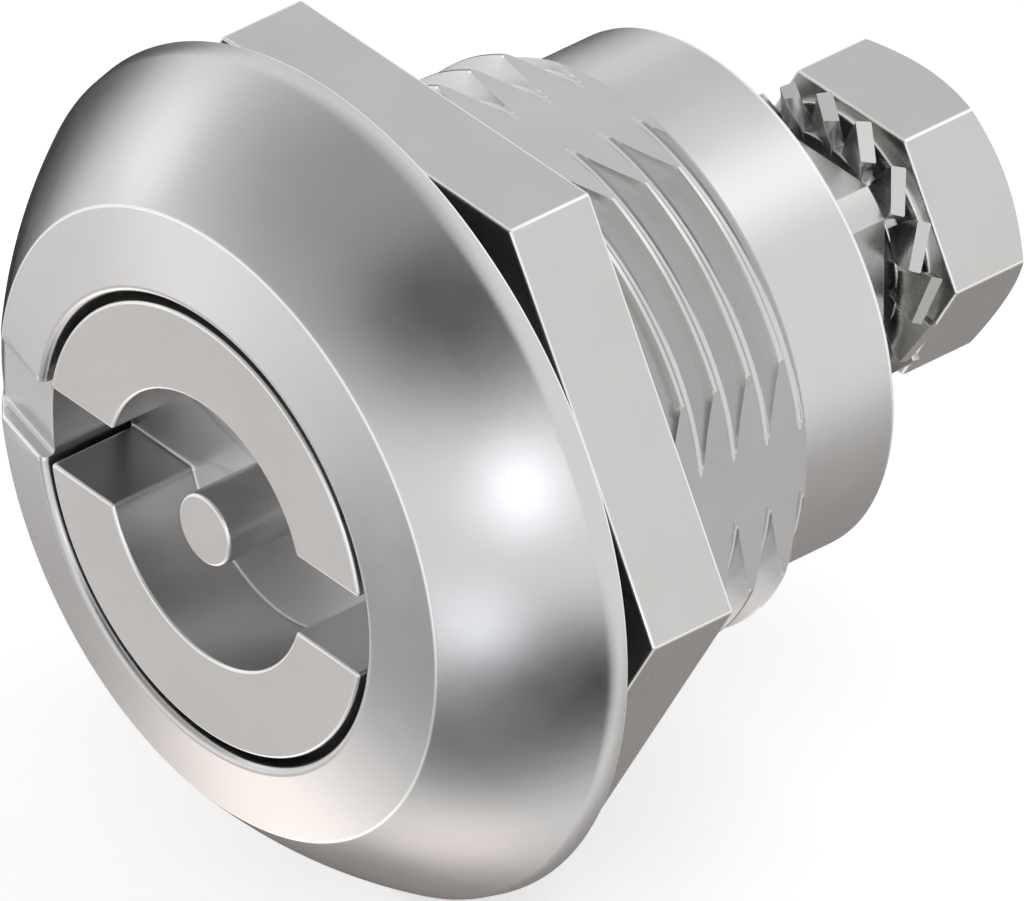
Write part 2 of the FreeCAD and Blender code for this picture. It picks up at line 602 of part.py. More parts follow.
HOLE_RADIUS = f"({TENON} + Sizes.tenon_gap)"
HOLE_CORNER = f"sqrt({HOLE_RADIUS} ^ 2 - {HOLE_SIDE} ^ 2)"
outline(tenon_hole, [
    (HOLE_SIDE, f"-{HOLE_CORNER}"),
    (HOLE_SIDE, HOLE_CORNER, f"-{HOLE_RADIUS}"),
    (f"-{HOLE_SIDE}", HOLE_CORNER),
    (f"-{HOLE_SIDE}", f"-{HOLE_CORNER}", f"-{HOLE_RADIUS}"),
])
pocketed(cam_sleeve, "tenon_hole", tenon_hole, "Sizes.sleeve_floor")

# Each helical slot is a swept cut with a round hole at both ends, and rises by the travel as it turns
SLOT_LEAD = "(Sizes.travel * 360 / Sizes.swing)"
SLOT_SLOPE = f"({SLOT_LEAD} / (pi * ({SLEEVE} + {SLEEVE_INSIDE})))"
SLOT_SPAN = f"({SLOT_HALF} / cos(atan({SLOT_SLOPE})))"
SLOT_OUTSIDE = f"({SLEEVE} + Sizes.sleeve_wall / 2)"
slot_section = sketch(cam_sleeve, "slot_section", "XY_Plane")
outline(slot_section, box_corners(f"{SLEEVE_INSIDE} - Sizes.sleeve_wall / 2", SLOT_OUTSIDE,
                                  f"{PIN_REST} - {SLOT_SPAN}", f"{PIN_REST} + {SLOT_SPAN}"))
helical_slot = cam_sleeve.newObject("PartDesign::SubtractiveHelix", "helical_slot")
helical_slot.Profile = slot_section
helical_slot.ReferenceAxis = (slot_section, ["V_Axis"])
helical_slot.Mode = "pitch-height-angle"
helical_slot.setExpression("Pitch", SLOT_LEAD)
helical_slot.setExpression("Height", "Sizes.travel")
changed(helical_slot, False)
slot_start = sketch(cam_sleeve, "slot_start_section", "YZ_Plane", at=SLOT_OUTSIDE)
circle(slot_start, SLOT_HALF, (PIN_REST, "0"))
slot_start_hole = pocketed(cam_sleeve, "slot_start", slot_start, "2 * Sizes.sleeve_wall")
slot_stop = sketch(cam_sleeve, "slot_stop_section", "XY_Plane", at=SLOT_OUTSIDE)
circle(slot_stop, SLOT_HALF, ("0", PIN_OUT))
slot_stop_hole = pocketed(cam_sleeve, "slot_stop", slot_stop, "2 * Sizes.sleeve_wall")
repeated(cam_sleeve, "second_slot", [helical_slot, slot_start_hole, slot_stop_hole], "2")

# Snap ring: keeps the sleeve from moving forward past the web
sleeve_snap_ring = body("sleeve_snap_ring")
turned(
    sleeve_snap_ring, "snap_ring",
    box_corners(f"{SNAP_FLOOR} + Sizes.ring_play", f"{CLIP_BORE} - Sizes.snap_gap", SNAP_START, SNAP_END),
    angle="360 - Sizes.snap_opening")

# Guide bush: a tube with two straight slots for the cross pin, a hub and two stop lobes
guide_bush = body("guide_bush")
turned(guide_bush, "bush_turning", [
    (BUSH_INSIDE, BUSH_FRONT),
    (BUSH_TUBE, BUSH_FRONT),
    (BUSH_TUBE, FLANGE_START),
    (HUB, FLANGE_START),
    (HUB, FLANGE_END),
    (BUSH_INSIDE, FLANGE_END),
])
lobe = turned(guide_bush, "stop_lobe", box_corners(BUSH_TUBE, LOBE, FLANGE_START, FLANGE_END),
              angle="Sizes.lobe_angle")
repeated(guide_bush, "stop_lobes", [lobe], "2")
bush_slot = sketch(guide_bush, "bush_slot_section", "YZ_Plane")
outline(bush_slot, box_corners(f"{BUSH_FRONT} - Sizes.bush_wall", PIN_OUT, f"-{SLOT_HALF}", SLOT_HALF))
pocketed_both_ways(guide_bush, "bush_slots", bush_slot, f"2 * {SLEEVE}")
slot_end = sketch(guide_bush, "slot_end_section", "YZ_Plane")
circle(slot_end, SLOT_HALF, (PIN_OUT, "0"))
pocketed_both_ways(guide_bush, "slot_ends", slot_end, f"2 * {SLEEVE}")

# Circlip: holds the bush in the tail, with two eyes for the pliers
bush_circlip = body("bush_circlip")
CIRCLIP_OUTSIDE = f"({CIRCLIP_FLOOR} - Sizes.ring_play)"
CIRCLIP_INSIDE = f"({CIRCLIP_OUTSIDE} - Sizes.circlip_height)"
turned(
    bush_circlip, "circlip_arc",
    box_corners(CIRCLIP_INSIDE, CIRCLIP_OUTSIDE, CIRCLIP_START, CIRCLIP_END),
    angle="360 - Sizes.circlip_opening", turn="90")
EYE_ANGLE = "(Sizes.circlip_opening / 2)"
for side, hand in (("left", "-"), ("right", "")):
    centre = (f"{hand}{CIRCLIP_INSIDE} * sin({EYE_ANGLE})", f"-{CIRCLIP_INSIDE} * cos({EYE_ANGLE})")
    eye = sketch(bush_circlip, f"{side}_eye_section", "XZ_Plane", at=CIRCLIP_START)
    circle(eye, "Sizes.eye_dia / 2", centre)
    padded(bush_circlip, f"{side}_eye", eye, "Sizes.circlip_thickness")
    eye_hole = sketch(bush_circlip, f"{side}_eye_hole_section", "XZ_Plane", at=CIRCLIP_START)
    circle(eye_hole, "Sizes.eye_hole / 2", centre)
    pocketed(bush_circlip, f"{side}_eye_hole", eye_hole, "Sizes.circlip_thickness")

# Drive shaft: round bar with a cross hole, and a square end with a tapped hole for the cam
drive_shaft = body("drive_shaft")
TAP_END = f"({SHAFT_END} - Sizes.tap_depth)"
turned(drive_shaft, "shaft_turning", [
    ("0", SHAFT_SEAT),
    (f"{SHAFT} - Sizes.shaft_chamfer", SHAFT_SEAT),
    (SHAFT, f"{SHAFT_SEAT} + Sizes.shaft_chamfer"),
    (SHAFT, SHAFT_END),
    (TAPPED_HOLE, SHAFT_END),
    (TAPPED_HOLE, TAP_END),
    ("0", f"{TAP_END} - {TAPPED_HOLE} / tan(Sizes.drill_tip / 2)"),
])
milled_flats(drive_shaft, "square", SQUARE_START, "Sizes.square_length", SQUARE_SIDE, SHAFT, "4")
cross_hole = sketch(drive_shaft, "cross_hole_section", "YZ_Plane")
circle(cross_hole, "Sizes.pin_dia / 2 + Sizes.pin_gap", (PIN_REST, "0"))
pocketed_both_ways(drive_shaft, "cross_hole", cross_hole, f"2 * {SLEEVE}")

# Cross pin, with both ends chamfered
cross_pin = body("cross_pin")
pin_section = sketch(cross_pin, "pin_section", "YZ_Plane")
circle(pin_section, "Sizes.pin_dia / 2", (PIN_REST, "0"))
pin_bar = cross_pin.newObject("PartDesign::Pad", "pin_bar")
pin_bar.Profile = pin_section
pin_bar.Midplane = True
pin_bar.setExpression("Length", f"2 * {PIN_HALF}")
doc.recompute()
pin_ends = cross_pin.newObject("PartDesign::Chamfer", "pin_ends")
pin_ends.Base = (pin_bar, [
    f"Edge{number}" for number, edge in enumerate(pin_bar.Shape.Edges, 1)
    if isinstance(edge.Curve, Part.Circle)
])
pin_ends.setExpression("Size", "Sizes.pin_chamfer")

# Return spring of flat wire, compressed between the pocket of the insert and the shaft
return_spring = body("return_spring")
SPRING = f"({SPRING_POCKET} - Sizes.spring_gap)"
SPRING_START = f"({SPRING_FLOOR} + Sizes.end_play)"
wire = sketch(return_spring, "wire_section", "XY_Plane")
outline(wire, box_corners(f"{SPRING} - Sizes.spring_width", SPRING,
                          SPRING_START, f"{SPRING_START} + Sizes.spring_thickness"))
coil = return_spring.newObject("PartDesign::AdditiveHelix", "coil")
coil.Profile = wire
coil.ReferenceAxis = (wire, ["V_Axis"])
coil.Mode = "height-turns-angle"
coil.setExpression("Height", f"{SHAFT_SEAT} - {SPRING_START} - Sizes.spring_thickness - Sizes.end_play")
coil.setExpression("Turns", "Sizes.spring_turns")
changed(coil, True)

# Lock washer: a flat ring whose outer teeth are each twisted
lock_washer = body("lock_washer")
HALF_SHEET = "(Sizes.washer_thickness / 2)"
turned(lock_washer, "washer_ring", box_corners(
    WASHER_BORE, WASHER_RING, f"{WASHER_MIDDLE} - {HALF_SHEET}", f"{WASHER_MIDDLE} + {HALF_SHEET}"))
tooth_sections = []
for place, reach, width, twist in (
        ("tip", WASHER_TIP, "Sizes.tooth_tip", "-Sizes.tip_twist"),
        ("foot", f"{WASHER_RING} - Sizes.tooth_root", "Sizes.tooth_foot", "-Sizes.foot_twist")):
    section = sketch(lock_washer, f"tooth_{place}", "YZ_Plane", at=reach)
    section.setExpression("AttachmentOffset.Base.x", WASHER_MIDDLE)
    section.setExpression("AttachmentOffset.Rotation.Angle", twist)
    outline(section, box_corners(f"-{HALF_SHEET}", HALF_SHEET, f"-{width} / 2", f"{width} / 2"))
    tooth_sections.append(section)
tooth = lock_washer.newObject("PartDesign::AdditiveLoft", "tooth")
tooth.Profile = tooth_sections[0]
tooth.Sections = tooth_sections[1:]
tooth.Ruled = True
changed(tooth, True)
repeated(lock_washer, "teeth", [tooth], "Sizes.tooth_count")

# Cam screw: hexagon head with a washer face, bevelled at the back, and its shank in the tapped hole
cam_screw = body("cam_screw")
SCREW_TIP = f"({COLLAR_START} - Sizes.screw_length)"
screw_head = sketch(cam_screw, "head_section", "XZ_Plane", at=HEAD_START)
outline(screw_head, hexagon("Sizes.head_flats"))
padded(cam_screw, "head", screw_head, "Sizes.head_thickness")
turned(cam_screw, "shank", [
    ("0", HEAD_START),
    (COLLAR, HEAD_START),
    (COLLAR, COLLAR_START),
    (SCREW, COLLAR_START),
    (SCREW, f"{SCREW_TIP} + Sizes.screw_chamfer"),
    (f"{SCREW} - Sizes.screw_chamfer", SCREW_TIP),
    ("0", SCREW_TIP),
])
HEAD_CORNER = "(Sizes.head_flats / 2 / cos(30))"
turned(cam_screw, "head_bevel", [
    (f"{HEAD_CORNER} - Sizes.bevel_height / tan(Sizes.bevel_angle)", HEAD_END),
    (f"{HEAD_CORNER} + Sizes.bevel_height", HEAD_END),
    (f"{HEAD_CORNER} + Sizes.bevel_height",
     f"{HEAD_END} - Sizes.bevel_height * (1 + tan(Sizes.bevel_angle))"),
], cut=True)

doc.recompute()
broken = [o.Name for o in doc.Objects if "Invalid" in o.State or "Error" in o.State]
if broken:
    raise RuntimeError(f"these did not build: {broken}")

PIECES = [
    "housing", "hex_nut", "flange_gasket", "key_insert", "insert_seal", "thrust_washer",
    "cam_sleeve", "sleeve_snap_ring", "guide_bush", "bush_circlip", "drive_shaft", "cross_pin",
    "return_spring", "lock_washer", "cam_screw",
]
shapes = {}
for name in PIECES:
    shape = doc.getObjectsByLabel(name)[0].Shape
    if shape.isNull() or not shape.isValid() or len(shape.Solids) != 1:
        raise RuntimeError(f"{name} is not one valid solid")
    shapes[name] = shape

os.makedirs("parts", exist_ok=True)
for name, shape in shapes.items():
    shape.exportStep(f"parts/{name}.step")
    print(f"{name:18s} {shape.Volume:9.2f} mm3")
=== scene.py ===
import math

import bmesh
import bpy
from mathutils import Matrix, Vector


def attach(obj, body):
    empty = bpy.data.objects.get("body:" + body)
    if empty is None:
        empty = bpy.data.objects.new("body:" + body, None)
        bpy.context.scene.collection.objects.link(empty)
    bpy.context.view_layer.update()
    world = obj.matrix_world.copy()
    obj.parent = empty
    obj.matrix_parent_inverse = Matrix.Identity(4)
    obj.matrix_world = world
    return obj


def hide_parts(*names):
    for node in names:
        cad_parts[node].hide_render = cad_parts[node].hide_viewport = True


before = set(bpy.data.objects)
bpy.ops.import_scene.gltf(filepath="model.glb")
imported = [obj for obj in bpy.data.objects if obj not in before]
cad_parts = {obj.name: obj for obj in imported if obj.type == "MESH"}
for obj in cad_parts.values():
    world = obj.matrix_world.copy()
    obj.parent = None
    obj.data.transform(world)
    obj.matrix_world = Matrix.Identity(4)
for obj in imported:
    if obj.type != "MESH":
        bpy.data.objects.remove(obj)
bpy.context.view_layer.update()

# Housing: one bar of steel, turned, threaded M22 x 1.5 and milled with four flats. The head is a
# smooth dome with a raised ring round the mouth, and the position notch is milled across the ring.
# Inside are the bores, the windows for the cross pin and, in the tail, the two stop ribs.
MM = 0.001
FULL_TURN = 2 * math.pi
MOUTH, RING, DOME_EDGE, RIM, LIP, TAIL = 8.88, 11.92, 15.9, 16.05, 15.62, 9.85
FRONT, RING_CREASE, RIM_CREASE, POCKET, TAIL_END = -5.97, -5.27, -0.66, -0.8, 17.42
DOME_RADIUS = 19.0
SEAL_BORE, SLEEVE_BORE, SNAP_BORE, BUSH_BORE, CLIP_GROOVE = 8.8, 7.65, 8.2, 8.7, 9.15
SEAL_START, SHOULDER, SLEEVE_END, BUSH_SEAT, BUSH_END = -1.7, 2.5, 11.85, 13.95, 15.8
GROOVE_FRONT, GROOVE_BACK = 15.85, 16.77
NOTCH_HALF, NOTCH_DEPTH, NOTCH_START, NOTCH_STEP = 1.6, 0.65, -8.3, 0.2
WINDOW_FRONT, WINDOW_BACK, WINDOW_INSIDE, WINDOW_OUTSIDE, WINDOW_WIDTH = 3.75, 11.05, 7.5, 8.75, 115
RIB_INSIDE, RIB_OUTSIDE, RIB_WIDTH = 7.3, 8.8, 40
KEYWAY_HALF, KEYWAY_REACH, KEYWAY_END = 1.7, 8.75, 3.9
THREAD, ROOT, PITCH, BODY_INSIDE, BODY_CHAMFER, FLAT = 11.0, 10.08, 1.5, 9.5, 10.05, 10
THREAD_START, THREAD_END, BODY_END, FIRST_GROOVE, GROOVE_TURNS = -1.2, 12.22, 13.17, -2.11, 11


def mesh_piece(name, points, faces):
    """A mesh object from points in millimetres, with its faces turned outwards."""
    mesh = bpy.data.meshes.new(name)
    mesh.from_pydata([tuple(c * MM for c in p) for p in points], [], faces)
    made = bpy.data.objects.new(name, mesh)
    bpy.context.collection.objects.link(made)
    edit = bmesh.new()
    edit.from_mesh(mesh)
    bmesh.ops.recalc_face_normals(edit, faces=edit.faces)
    edit.to_mesh(mesh)
    edit.free()
    return made


def arc(centre, radius, start, stop, steps):
    """Points on an arc, with its angles in radians."""
    return [(centre[0] + radius * math.cos(start + (stop - start) * k / steps),
             centre[1] + radius * math.sin(start + (stop - start) * k / steps)) for k in range(steps + 1)]


def filleted(corners, steps=4):
    """A closed outline from corners of two coordinates and a radius, which rounds that corner."""
    points = []
    for i, corner in enumerate(corners):
        here = Vector(corner[:2])
        if len(corner) == 2 or corner[2] == 0:
            points.append(tuple(here))
            continue
        before = (Vector(corners[i - 1][:2]) - here).normalized()
        after = (Vector(corners[(i + 1) % len(corners)][:2]) - here).normalized()
        half = before.angle(after) / 2
        centre = here + (before + after).normalized() * corner[2] / math.sin(half)
        start = here + before * corner[2] / math.tan(half) - centre
        stop = here + after * corner[2] / math.tan(half) - centre
        first = math.atan2(start.y, start.x)
        swing = (math.atan2(stop.y, stop.x) - first + math.pi) % FULL_TURN - math.pi
        points += arc(centre, corner[2], first, first + swing, steps)
    return points


def turned(name, section, segments=256):
    """A closed half section of radii and stations, turned round the latch's axis."""
    points, faces, rows = [], [], []
    for radius, station in section:
        if radius < 1e-6:
            rows.append([len(points)] * segments)
            points.append((0, station, 0))
            continue
        rows.append([len(points) + k for k in range(segments)])
        points += [(radius * math.cos(FULL_TURN * k / segments), station,
                    radius * math.sin(FULL_TURN * k / segments)) for k in range(segments)]
    for i, row in enumerate(rows):
        after = rows[(i + 1) % len(rows)]
        if row[0] == row[-1] and after[0] == after[-1]:
            continue
        for k in range(segments):
            corner = (row[k], row[(k + 1) % segments], after[(k + 1) % segments], after[k])
            faces.append([c for j, c in enumerate(corner) if c != corner[j - 1]])
    return mesh_piece(name, points, faces)


def lofted(name, rings):
    """A skin over rings that have the same number of points, closed at both ends."""
    count = len(rings[0])
    points = [p for ring in rings for p in ring]
    faces = []
    for i in range(len(rings) - 1):
        for k in range(count):
            after = (k + 1) % count
            faces.append((i * count + k, i * count + after, (i + 1) * count + after, (i + 1) * count + k))
    faces.append(tuple(range(count)))
    faces.append(tuple(range(len(points) - count, len(points))))
    return mesh_piece(name, points, faces)


def prism(name, outline, low, high):
    """An outline across the axis, as X and Z, drawn out from one station to another."""
    return lofted(name, [[(x, y, z) for x, z in outline] for y in (low, high)])


def box(name, low, high):
    """A block between its lowest and its highest corner."""
    return prism(name, [(low[0], low[2]), (high[0], low[2]), (high[0], high[2]), (low[0], high[2])],
                 low[1], high[1])


def sector(name, inside, outside, low, high, middle, width):
    """A piece of a ring, with its middle and width in degrees from +X towards +Z."""
    first, last = math.radians(middle - width / 2), math.radians(middle + width / 2)
    outline = arc((0, 0), outside, first, last, 24) + arc((0, 0), inside, last, first, 24)
    return prism(name, outline, low, high)


def shaped(made, tool, operation="DIFFERENCE"):
    """Cut a tool's shape from a piece, or join it to the piece, and take the tool away."""
    step = made.modifiers.new("step", "BOOLEAN")
    step.operation = operation
    step.solver = "EXACT"
    step.object = tool
    graph = bpy.context.evaluated_depsgraph_get()
    result = bpy.data.meshes.new_from_object(made.evaluated_get(graph))
    made.modifiers.clear()
    spent = [made.data, tool.data]
    made.data = result
    bpy.data.objects.remove(tool)
    for mesh in spent:
        bpy.data.meshes.remove(mesh)


def helical(name, section, start, turns):
    """A closed section swept along a right-hand helix of the thread's pitch, which starts at +X."""
    steps = 144
    rings = []
    for i in range(turns * steps + 1):
        angle = FULL_TURN * i / steps
        rise = start + PITCH * i / steps
        rings.append([(r * math.cos(angle), y + rise, -r * math.sin(angle)) for r, y in section])
    return lofted(name, rings)


def groove_section(crest, root, root_round, crest_round, land):
    """The section of a 60 degree thread's groove, with a rounded root and with both crests eased."""
    clear, flank = 0.4, math.radians(30)
    edge = (PITCH - land) / 2
    eased = edge - crest_round
    floor = eased - (crest - crest_round - root) * math.tan(flank)
    return filleted([
        (crest + clear, edge), (crest, edge), (crest - crest_round, eased),
        (root, floor, root_round), (root, -floor, root_round),
        (crest - crest_round, -eased), (crest, -edge), (crest + clear, -edge)], 5)


def dome_points(steps):
    """The dome's arc, from the ring's outer crease to the crease of the rim."""
    start, stop = Vector((RING, RING_CREASE)), Vector((DOME_EDGE, RIM_CREASE))
    chord = stop - start
    out = Vector((chord.y, -chord.x)).normalized()
    centre = (start + stop) / 2 - out * math.sqrt(DOME_RADIUS ** 2 - (chord.length / 2) ** 2)
    first = math.atan2(start.y - centre.y, start.x - centre.x)
    last = math.atan2(stop.y - centre.y, stop.x - centre.x)
    return arc(centre, DOME_RADIUS, first, last, steps)


dome = dome_points(28)
ring_outline = filleted([(MOUTH, FRONT + 3, 0), (MOUTH, FRONT, 0.28),
                         (RING, RING_CREASE, 0.25), dome[1]])[1:-1]
rim_outline = filleted([(DOME_EDGE, RIM_CREASE, 0), (RIM, 0, 0.07), (LIP, 0, 0.05), (LIP, POCKET, 0)])[1:]
tail_outline = filleted([
    (TAIL, POCKET, 0), (TAIL, TAIL_END, 0.22), (BUSH_BORE, TAIL_END, 0.12), (BUSH_BORE, GROOVE_BACK, 0),
    (CLIP_GROOVE, GROOVE_BACK, 0), (CLIP_GROOVE, GROOVE_FRONT, 0), (BUSH_BORE, GROOVE_FRONT, 0),
    (BUSH_BORE, BUSH_SEAT, 0), (SNAP_BORE, BUSH_SEAT, 0), (SNAP_BORE, SLEEVE_END, 0),
    (SLEEVE_BORE, SLEEVE_END, 0), (SLEEVE_BORE, SHOULDER, 0), (SEAL_BORE, SHOULDER, 0),
    (SEAL_BORE, SEAL_START, 0), (MOUTH, SEAL_START, 0)])
housing = turned("latch_housing", ring_outline + dome[1:] + rim_outline + tail_outline, 288)


def ring_face(radius, depth=0):
    """The station of the ring's sloping face at a radius, or of a floor at a depth behind it."""
    return FRONT + depth + (RING_CREASE - FRONT) * (radius - MOUTH) / (RING - MOUTH)


def notch_ring(x):
    """The notch's section at one X: a floor with rounded corners, walls, and edges that flare out."""
    least_depth, most_flare, most_corner = 0.02, 0.1, 0.18
    reach = math.hypot(x, NOTCH_HALF)
    surface = ring_face(reach)
    if reach > RING:
        surface = next(y for r, y in dome_points(120) if r >= reach)
    floor = max(ring_face(abs(x), NOTCH_DEPTH), surface + least_depth)
    flare = min(most_flare, (floor - surface) / 2)
    corner = min(most_corner, floor - surface - flare)
    half = arc((NOTCH_HALF - corner, floor - corner), corner, math.pi / 2, 0, 4)
    half += arc((NOTCH_HALF + flare, surface + flare), flare, math.pi, 1.5 * math.pi, 4)
    half.append((NOTCH_HALF + flare, surface - 1))
    return [(x, y, z) for z, y in half] + [(x, y, -z) for z, y in reversed(half)]


shaped(housing, lofted("notch", [notch_ring(NOTCH_START - NOTCH_STEP * k) for k in range(25)]))
for opposite in (0, 180):
    shaped(housing, sector("window", WINDOW_INSIDE, WINDOW_OUTSIDE, WINDOW_FRONT, WINDOW_BACK,
                           45 + opposite, WINDOW_WIDTH))
    shaped(housing, sector("rib", RIB_INSIDE, RIB_OUTSIDE, BUSH_SEAT - 0.02, BUSH_END,
                           -45 + opposite, RIB_WIDTH), "UNION")
shaped(housing, box("keyways", (-KEYWAY_REACH, SHOULDER - 0.1, -KEYWAY_HALF),
                    (KEYWAY_REACH, KEYWAY_END, KEYWAY_HALF)))

thread = turned("thread", [(BODY_INSIDE, THREAD_START), (THREAD, THREAD_START), (THREAD, THREAD_END),
                           (BODY_CHAMFER, BODY_END), (BODY_INSIDE, BODY_END)])
shaped(thread, box("flats", (-FLAT, -3, -FLAT), (FLAT, 15, FLAT)), "INTERSECT")
groove = groove_section(THREAD, ROOT, root_round=0.2, crest_round=0.06, land=0.14)
shaped(thread, helical("groove", groove, FIRST_GROOVE, GROOVE_TURNS))
shaped(housing, thread, "UNION")


def linear(code):
    """The linear colour of an sRGB hex value."""
    parts = [int(code[i:i + 2], 16) / 255 for i in (0, 2, 4)]
    return tuple(c / 12.92 if c <= 0.04045 else ((c + 0.055) / 1.055) ** 2.4 for c in parts) + (1.0,)


def node(tree, kind, settings=(), **links):
    """Add a node, set its properties and sockets by name, and link its inputs to other nodes' outputs."""
    made = tree.nodes.new("ShaderNode" + kind)
    for name, setting in dict(settings).items():
        if name in made.inputs:
            made.inputs[name].default_value = setting
        else:
            setattr(made, name, setting)
    for name, output in links.items():
        tree.links.new(output, made.inputs[name.replace("_", " ")])
    return made


def metal(name, colour, rough, grain_mm, grain_depth_mm, marks_mm=0, marks_depth_mm=0):
    """Bare or plated metal: roughness in soft patches, a fine grain, turning marks, and a painted highlight
    that lightens the rounded edges.
    """
    patch_mm, grain_share, edge_highlight_colour = 3.5, 0.5, "fbfbfa"
    made = bpy.data.materials.new(name)
    made.use_nodes = True
    tree = made.node_tree
    tree.nodes.clear()
    place = node(tree, "TexCoord").outputs["Object"]
    patches = node(tree, "TexNoise", {"Scale": 1 / (patch_mm * MM), "Detail": 3}, Vector=place)
    grain = node(tree, "TexNoise", {"Scale": 1 / (grain_mm * MM), "Detail": 2}, Vector=place)
    mixed = node(tree, "Math", {"operation": "MULTIPLY_ADD"})
    tree.links.new(grain.outputs["Fac"], mixed.inputs[0])
    mixed.inputs[1].default_value = grain_share
    tree.links.new(patches.outputs["Fac"], mixed.inputs[2])
    roughness = node(tree, "MapRange", {"From Min": 0.5, "From Max": 1.0, "To Min": rough[0],
                                        "To Max": rough[1]}, Value=mixed.outputs[0])
    tint = node(tree, "MixRGB")
    tint.inputs["Color1"].default_value = linear(colour[0])
    tint.inputs["Color2"].default_value = linear(colour[1])
    tree.links.new(mixed.outputs[0], tint.inputs["Fac"])
    # Painted highlight: where the edge attribute marks a rounded edge, the colour is lightened towards near
    # white.
    bright = node(tree, "MixRGB", Color1=tint.outputs["Color"])
    bright.inputs["Color2"].default_value = linear(edge_highlight_colour)
    tree.links.new(node(tree, "Attribute", {"attribute_name": "edge"}).outputs["Fac"], bright.inputs["Fac"])
    relief = node(tree, "Bump", {"Strength": 1.0, "Distance": grain_depth_mm * MM},
                  Height=grain.outputs["Fac"])
    if marks_mm:
        split = node(tree, "SeparateXYZ", Vector=place)
        across = node(tree, "CombineXYZ", X=split.outputs["X"], Y=split.outputs["Z"])
        reach = node(tree, "VectorMath", {"operation": "LENGTH"})
        tree.links.new(across.outputs[0], reach.inputs[0])
        path = node(tree, "CombineXYZ", X=reach.outputs["Value"], Y=split.outputs["Y"])
        marks = node(tree, "TexNoise", {"Scale": 1 / (marks_mm * MM), "Detail": 1}, Vector=path.outputs[0])
        relief = node(tree, "Bump", {"Strength": 1.0, "Distance": marks_depth_mm * MM},
                      Height=marks.outputs["Fac"], Normal=relief.outputs["Normal"])
    shader = node(tree, "BsdfPrincipled", {"Metallic": 1.0}, Base_Color=bright.outputs["Color"],
                  Roughness=roughness.outputs["Result"], Normal=relief.outputs["Normal"])
    node(tree, "OutputMaterial", Surface=shader.outputs["BSDF"])
    return made


def paint_edge_highlights(edit):
    """Mark the narrow faces of rounded edges for a painted highlight, which lightens their colour towards
    near white.
    """
    narrow, bend, long_side, brightness = 0.034 * MM, math.radians(5), 0.6, 0.7
    mark = edit.faces.layers.float.new("edge")
    for face in edit.faces:
        longest = max(side.calc_length() for side in face.edges)
        turns = [side.calc_face_angle_signed(0) for side in face.edges
                 if side.calc_length() > long_side * longest]
        rounded = face.calc_area() / face.calc_perimeter() < narrow and max(turns) > bend
        face[mark] = brightness if rounded else 0


def finished(made, body, nodes, material, sharp=32):
    """Clean a piece's mesh, mark its rounded edges for a painted highlight, shade it smooth up to its sharp
    edges, and give it body, slot and material.
    """
    smallest = 0.0005 * MM
    edit = bmesh.new()
    edit.from_mesh(made.data)
    bmesh.ops.remove_doubles(edit, verts=edit.verts, dist=smallest)
    bmesh.ops.dissolve_degenerate(edit, edges=edit.edges, dist=smallest)
    paint_edge_highlights(edit)
    edit.to_mesh(made.data)
    edit.free()
    made.data.materials.clear()
    made.data.materials.append(material)
    made.data.shade_smooth()
    made.data.set_sharp_from_angle(angle=math.radians(sharp))
    weights = made.modifiers.new("weights", "WEIGHTED_NORMAL")
    weights.keep_sharp = True
    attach(made, body)
    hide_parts(*nodes)


# Satin nickel plate on turned steel: a soft sheen, nearly neutral in tone, from fine blasting before
# the plating, with faint turning marks. The grain is drawn at 0.07 mm so that it shows.
satin_nickel = metal("satin_nickel_plate", ("c9c8c7", "d2d1d0"), (0.2, 0.27), 0.07, 0.0012, 0.05, 0.0003)
finished(housing, "housing", ["housing"], satin_nickel)

# Panel nut: hexagon bar, 27 mm across flats, drilled and tapped M22 x 1.5, with its edges broken.
# It is screwed on the body and would clamp the panel against the head.
NUT_FRONT, NUT_BACK, NUT_FLATS = 1.5, 5.15, 27.0
NUT_THREAD, NUT_BORE, SINK_INSIDE, SINK_OUTSIDE, SINK_DEPTH = 11.03, 10.3, 9.5, 12.35, 1.8
ROD_END, FIRST_RIDGE, RIDGE_TURNS = 7, -2.11, 8


def inset(outline, amount):
    """An outline moved inwards by an amount, measured square to its sides."""
    count = len(outline)
    area = sum(outline[i - 1][0] * outline[i][1] - outline[i][0] * outline[i - 1][1] for i in range(count))
    side = 1 if area > 0 else -1
    moved = []
    for i, point in enumerate(outline):
        before = (Vector(point) - Vector(outline[i - 1])).normalized()
        after = (Vector(outline[(i + 1) % count]) - Vector(point)).normalized()
        square = (Vector((-before.y, before.x)) + Vector((-after.y, after.x))).normalized()
        spread = max(0.3, square.dot(Vector((-before.y, before.x))))
        moved.append(tuple(Vector(point) + square * side * amount / spread))
    return moved


def rounded_prism(name, outline, low, high, low_round, high_round):
    """A prism across the axis whose edges at either end are rounded."""
    quarter = [math.pi / 2 * k / 4 for k in range(5)]
    levels = [(low + low_round * (1 - math.cos(a)), low_round * (1 - math.sin(a))) for a in quarter]
    levels += [(high - high_round * (1 - math.sin(a)), high_round * (1 - math.cos(a))) for a in quarter]
    levels = [level for k, level in enumerate(levels) if k == 0 or level[0] - levels[k - 1][0] > 1e-6]
    return lofted(name, [[(x, y, z) for x, z in inset(outline, amount)] for y, amount in levels])


def hexagon(flats, corner_round):
    """A hexagon that lies on a flat, with rounded corners."""
    reach = flats / 2 / math.cos(math.radians(30))
    return filleted([(reach * math.cos(math.radians(60 * k)), reach * math.sin(math.radians(60 * k)),
                      corner_round) for k in range(6)])


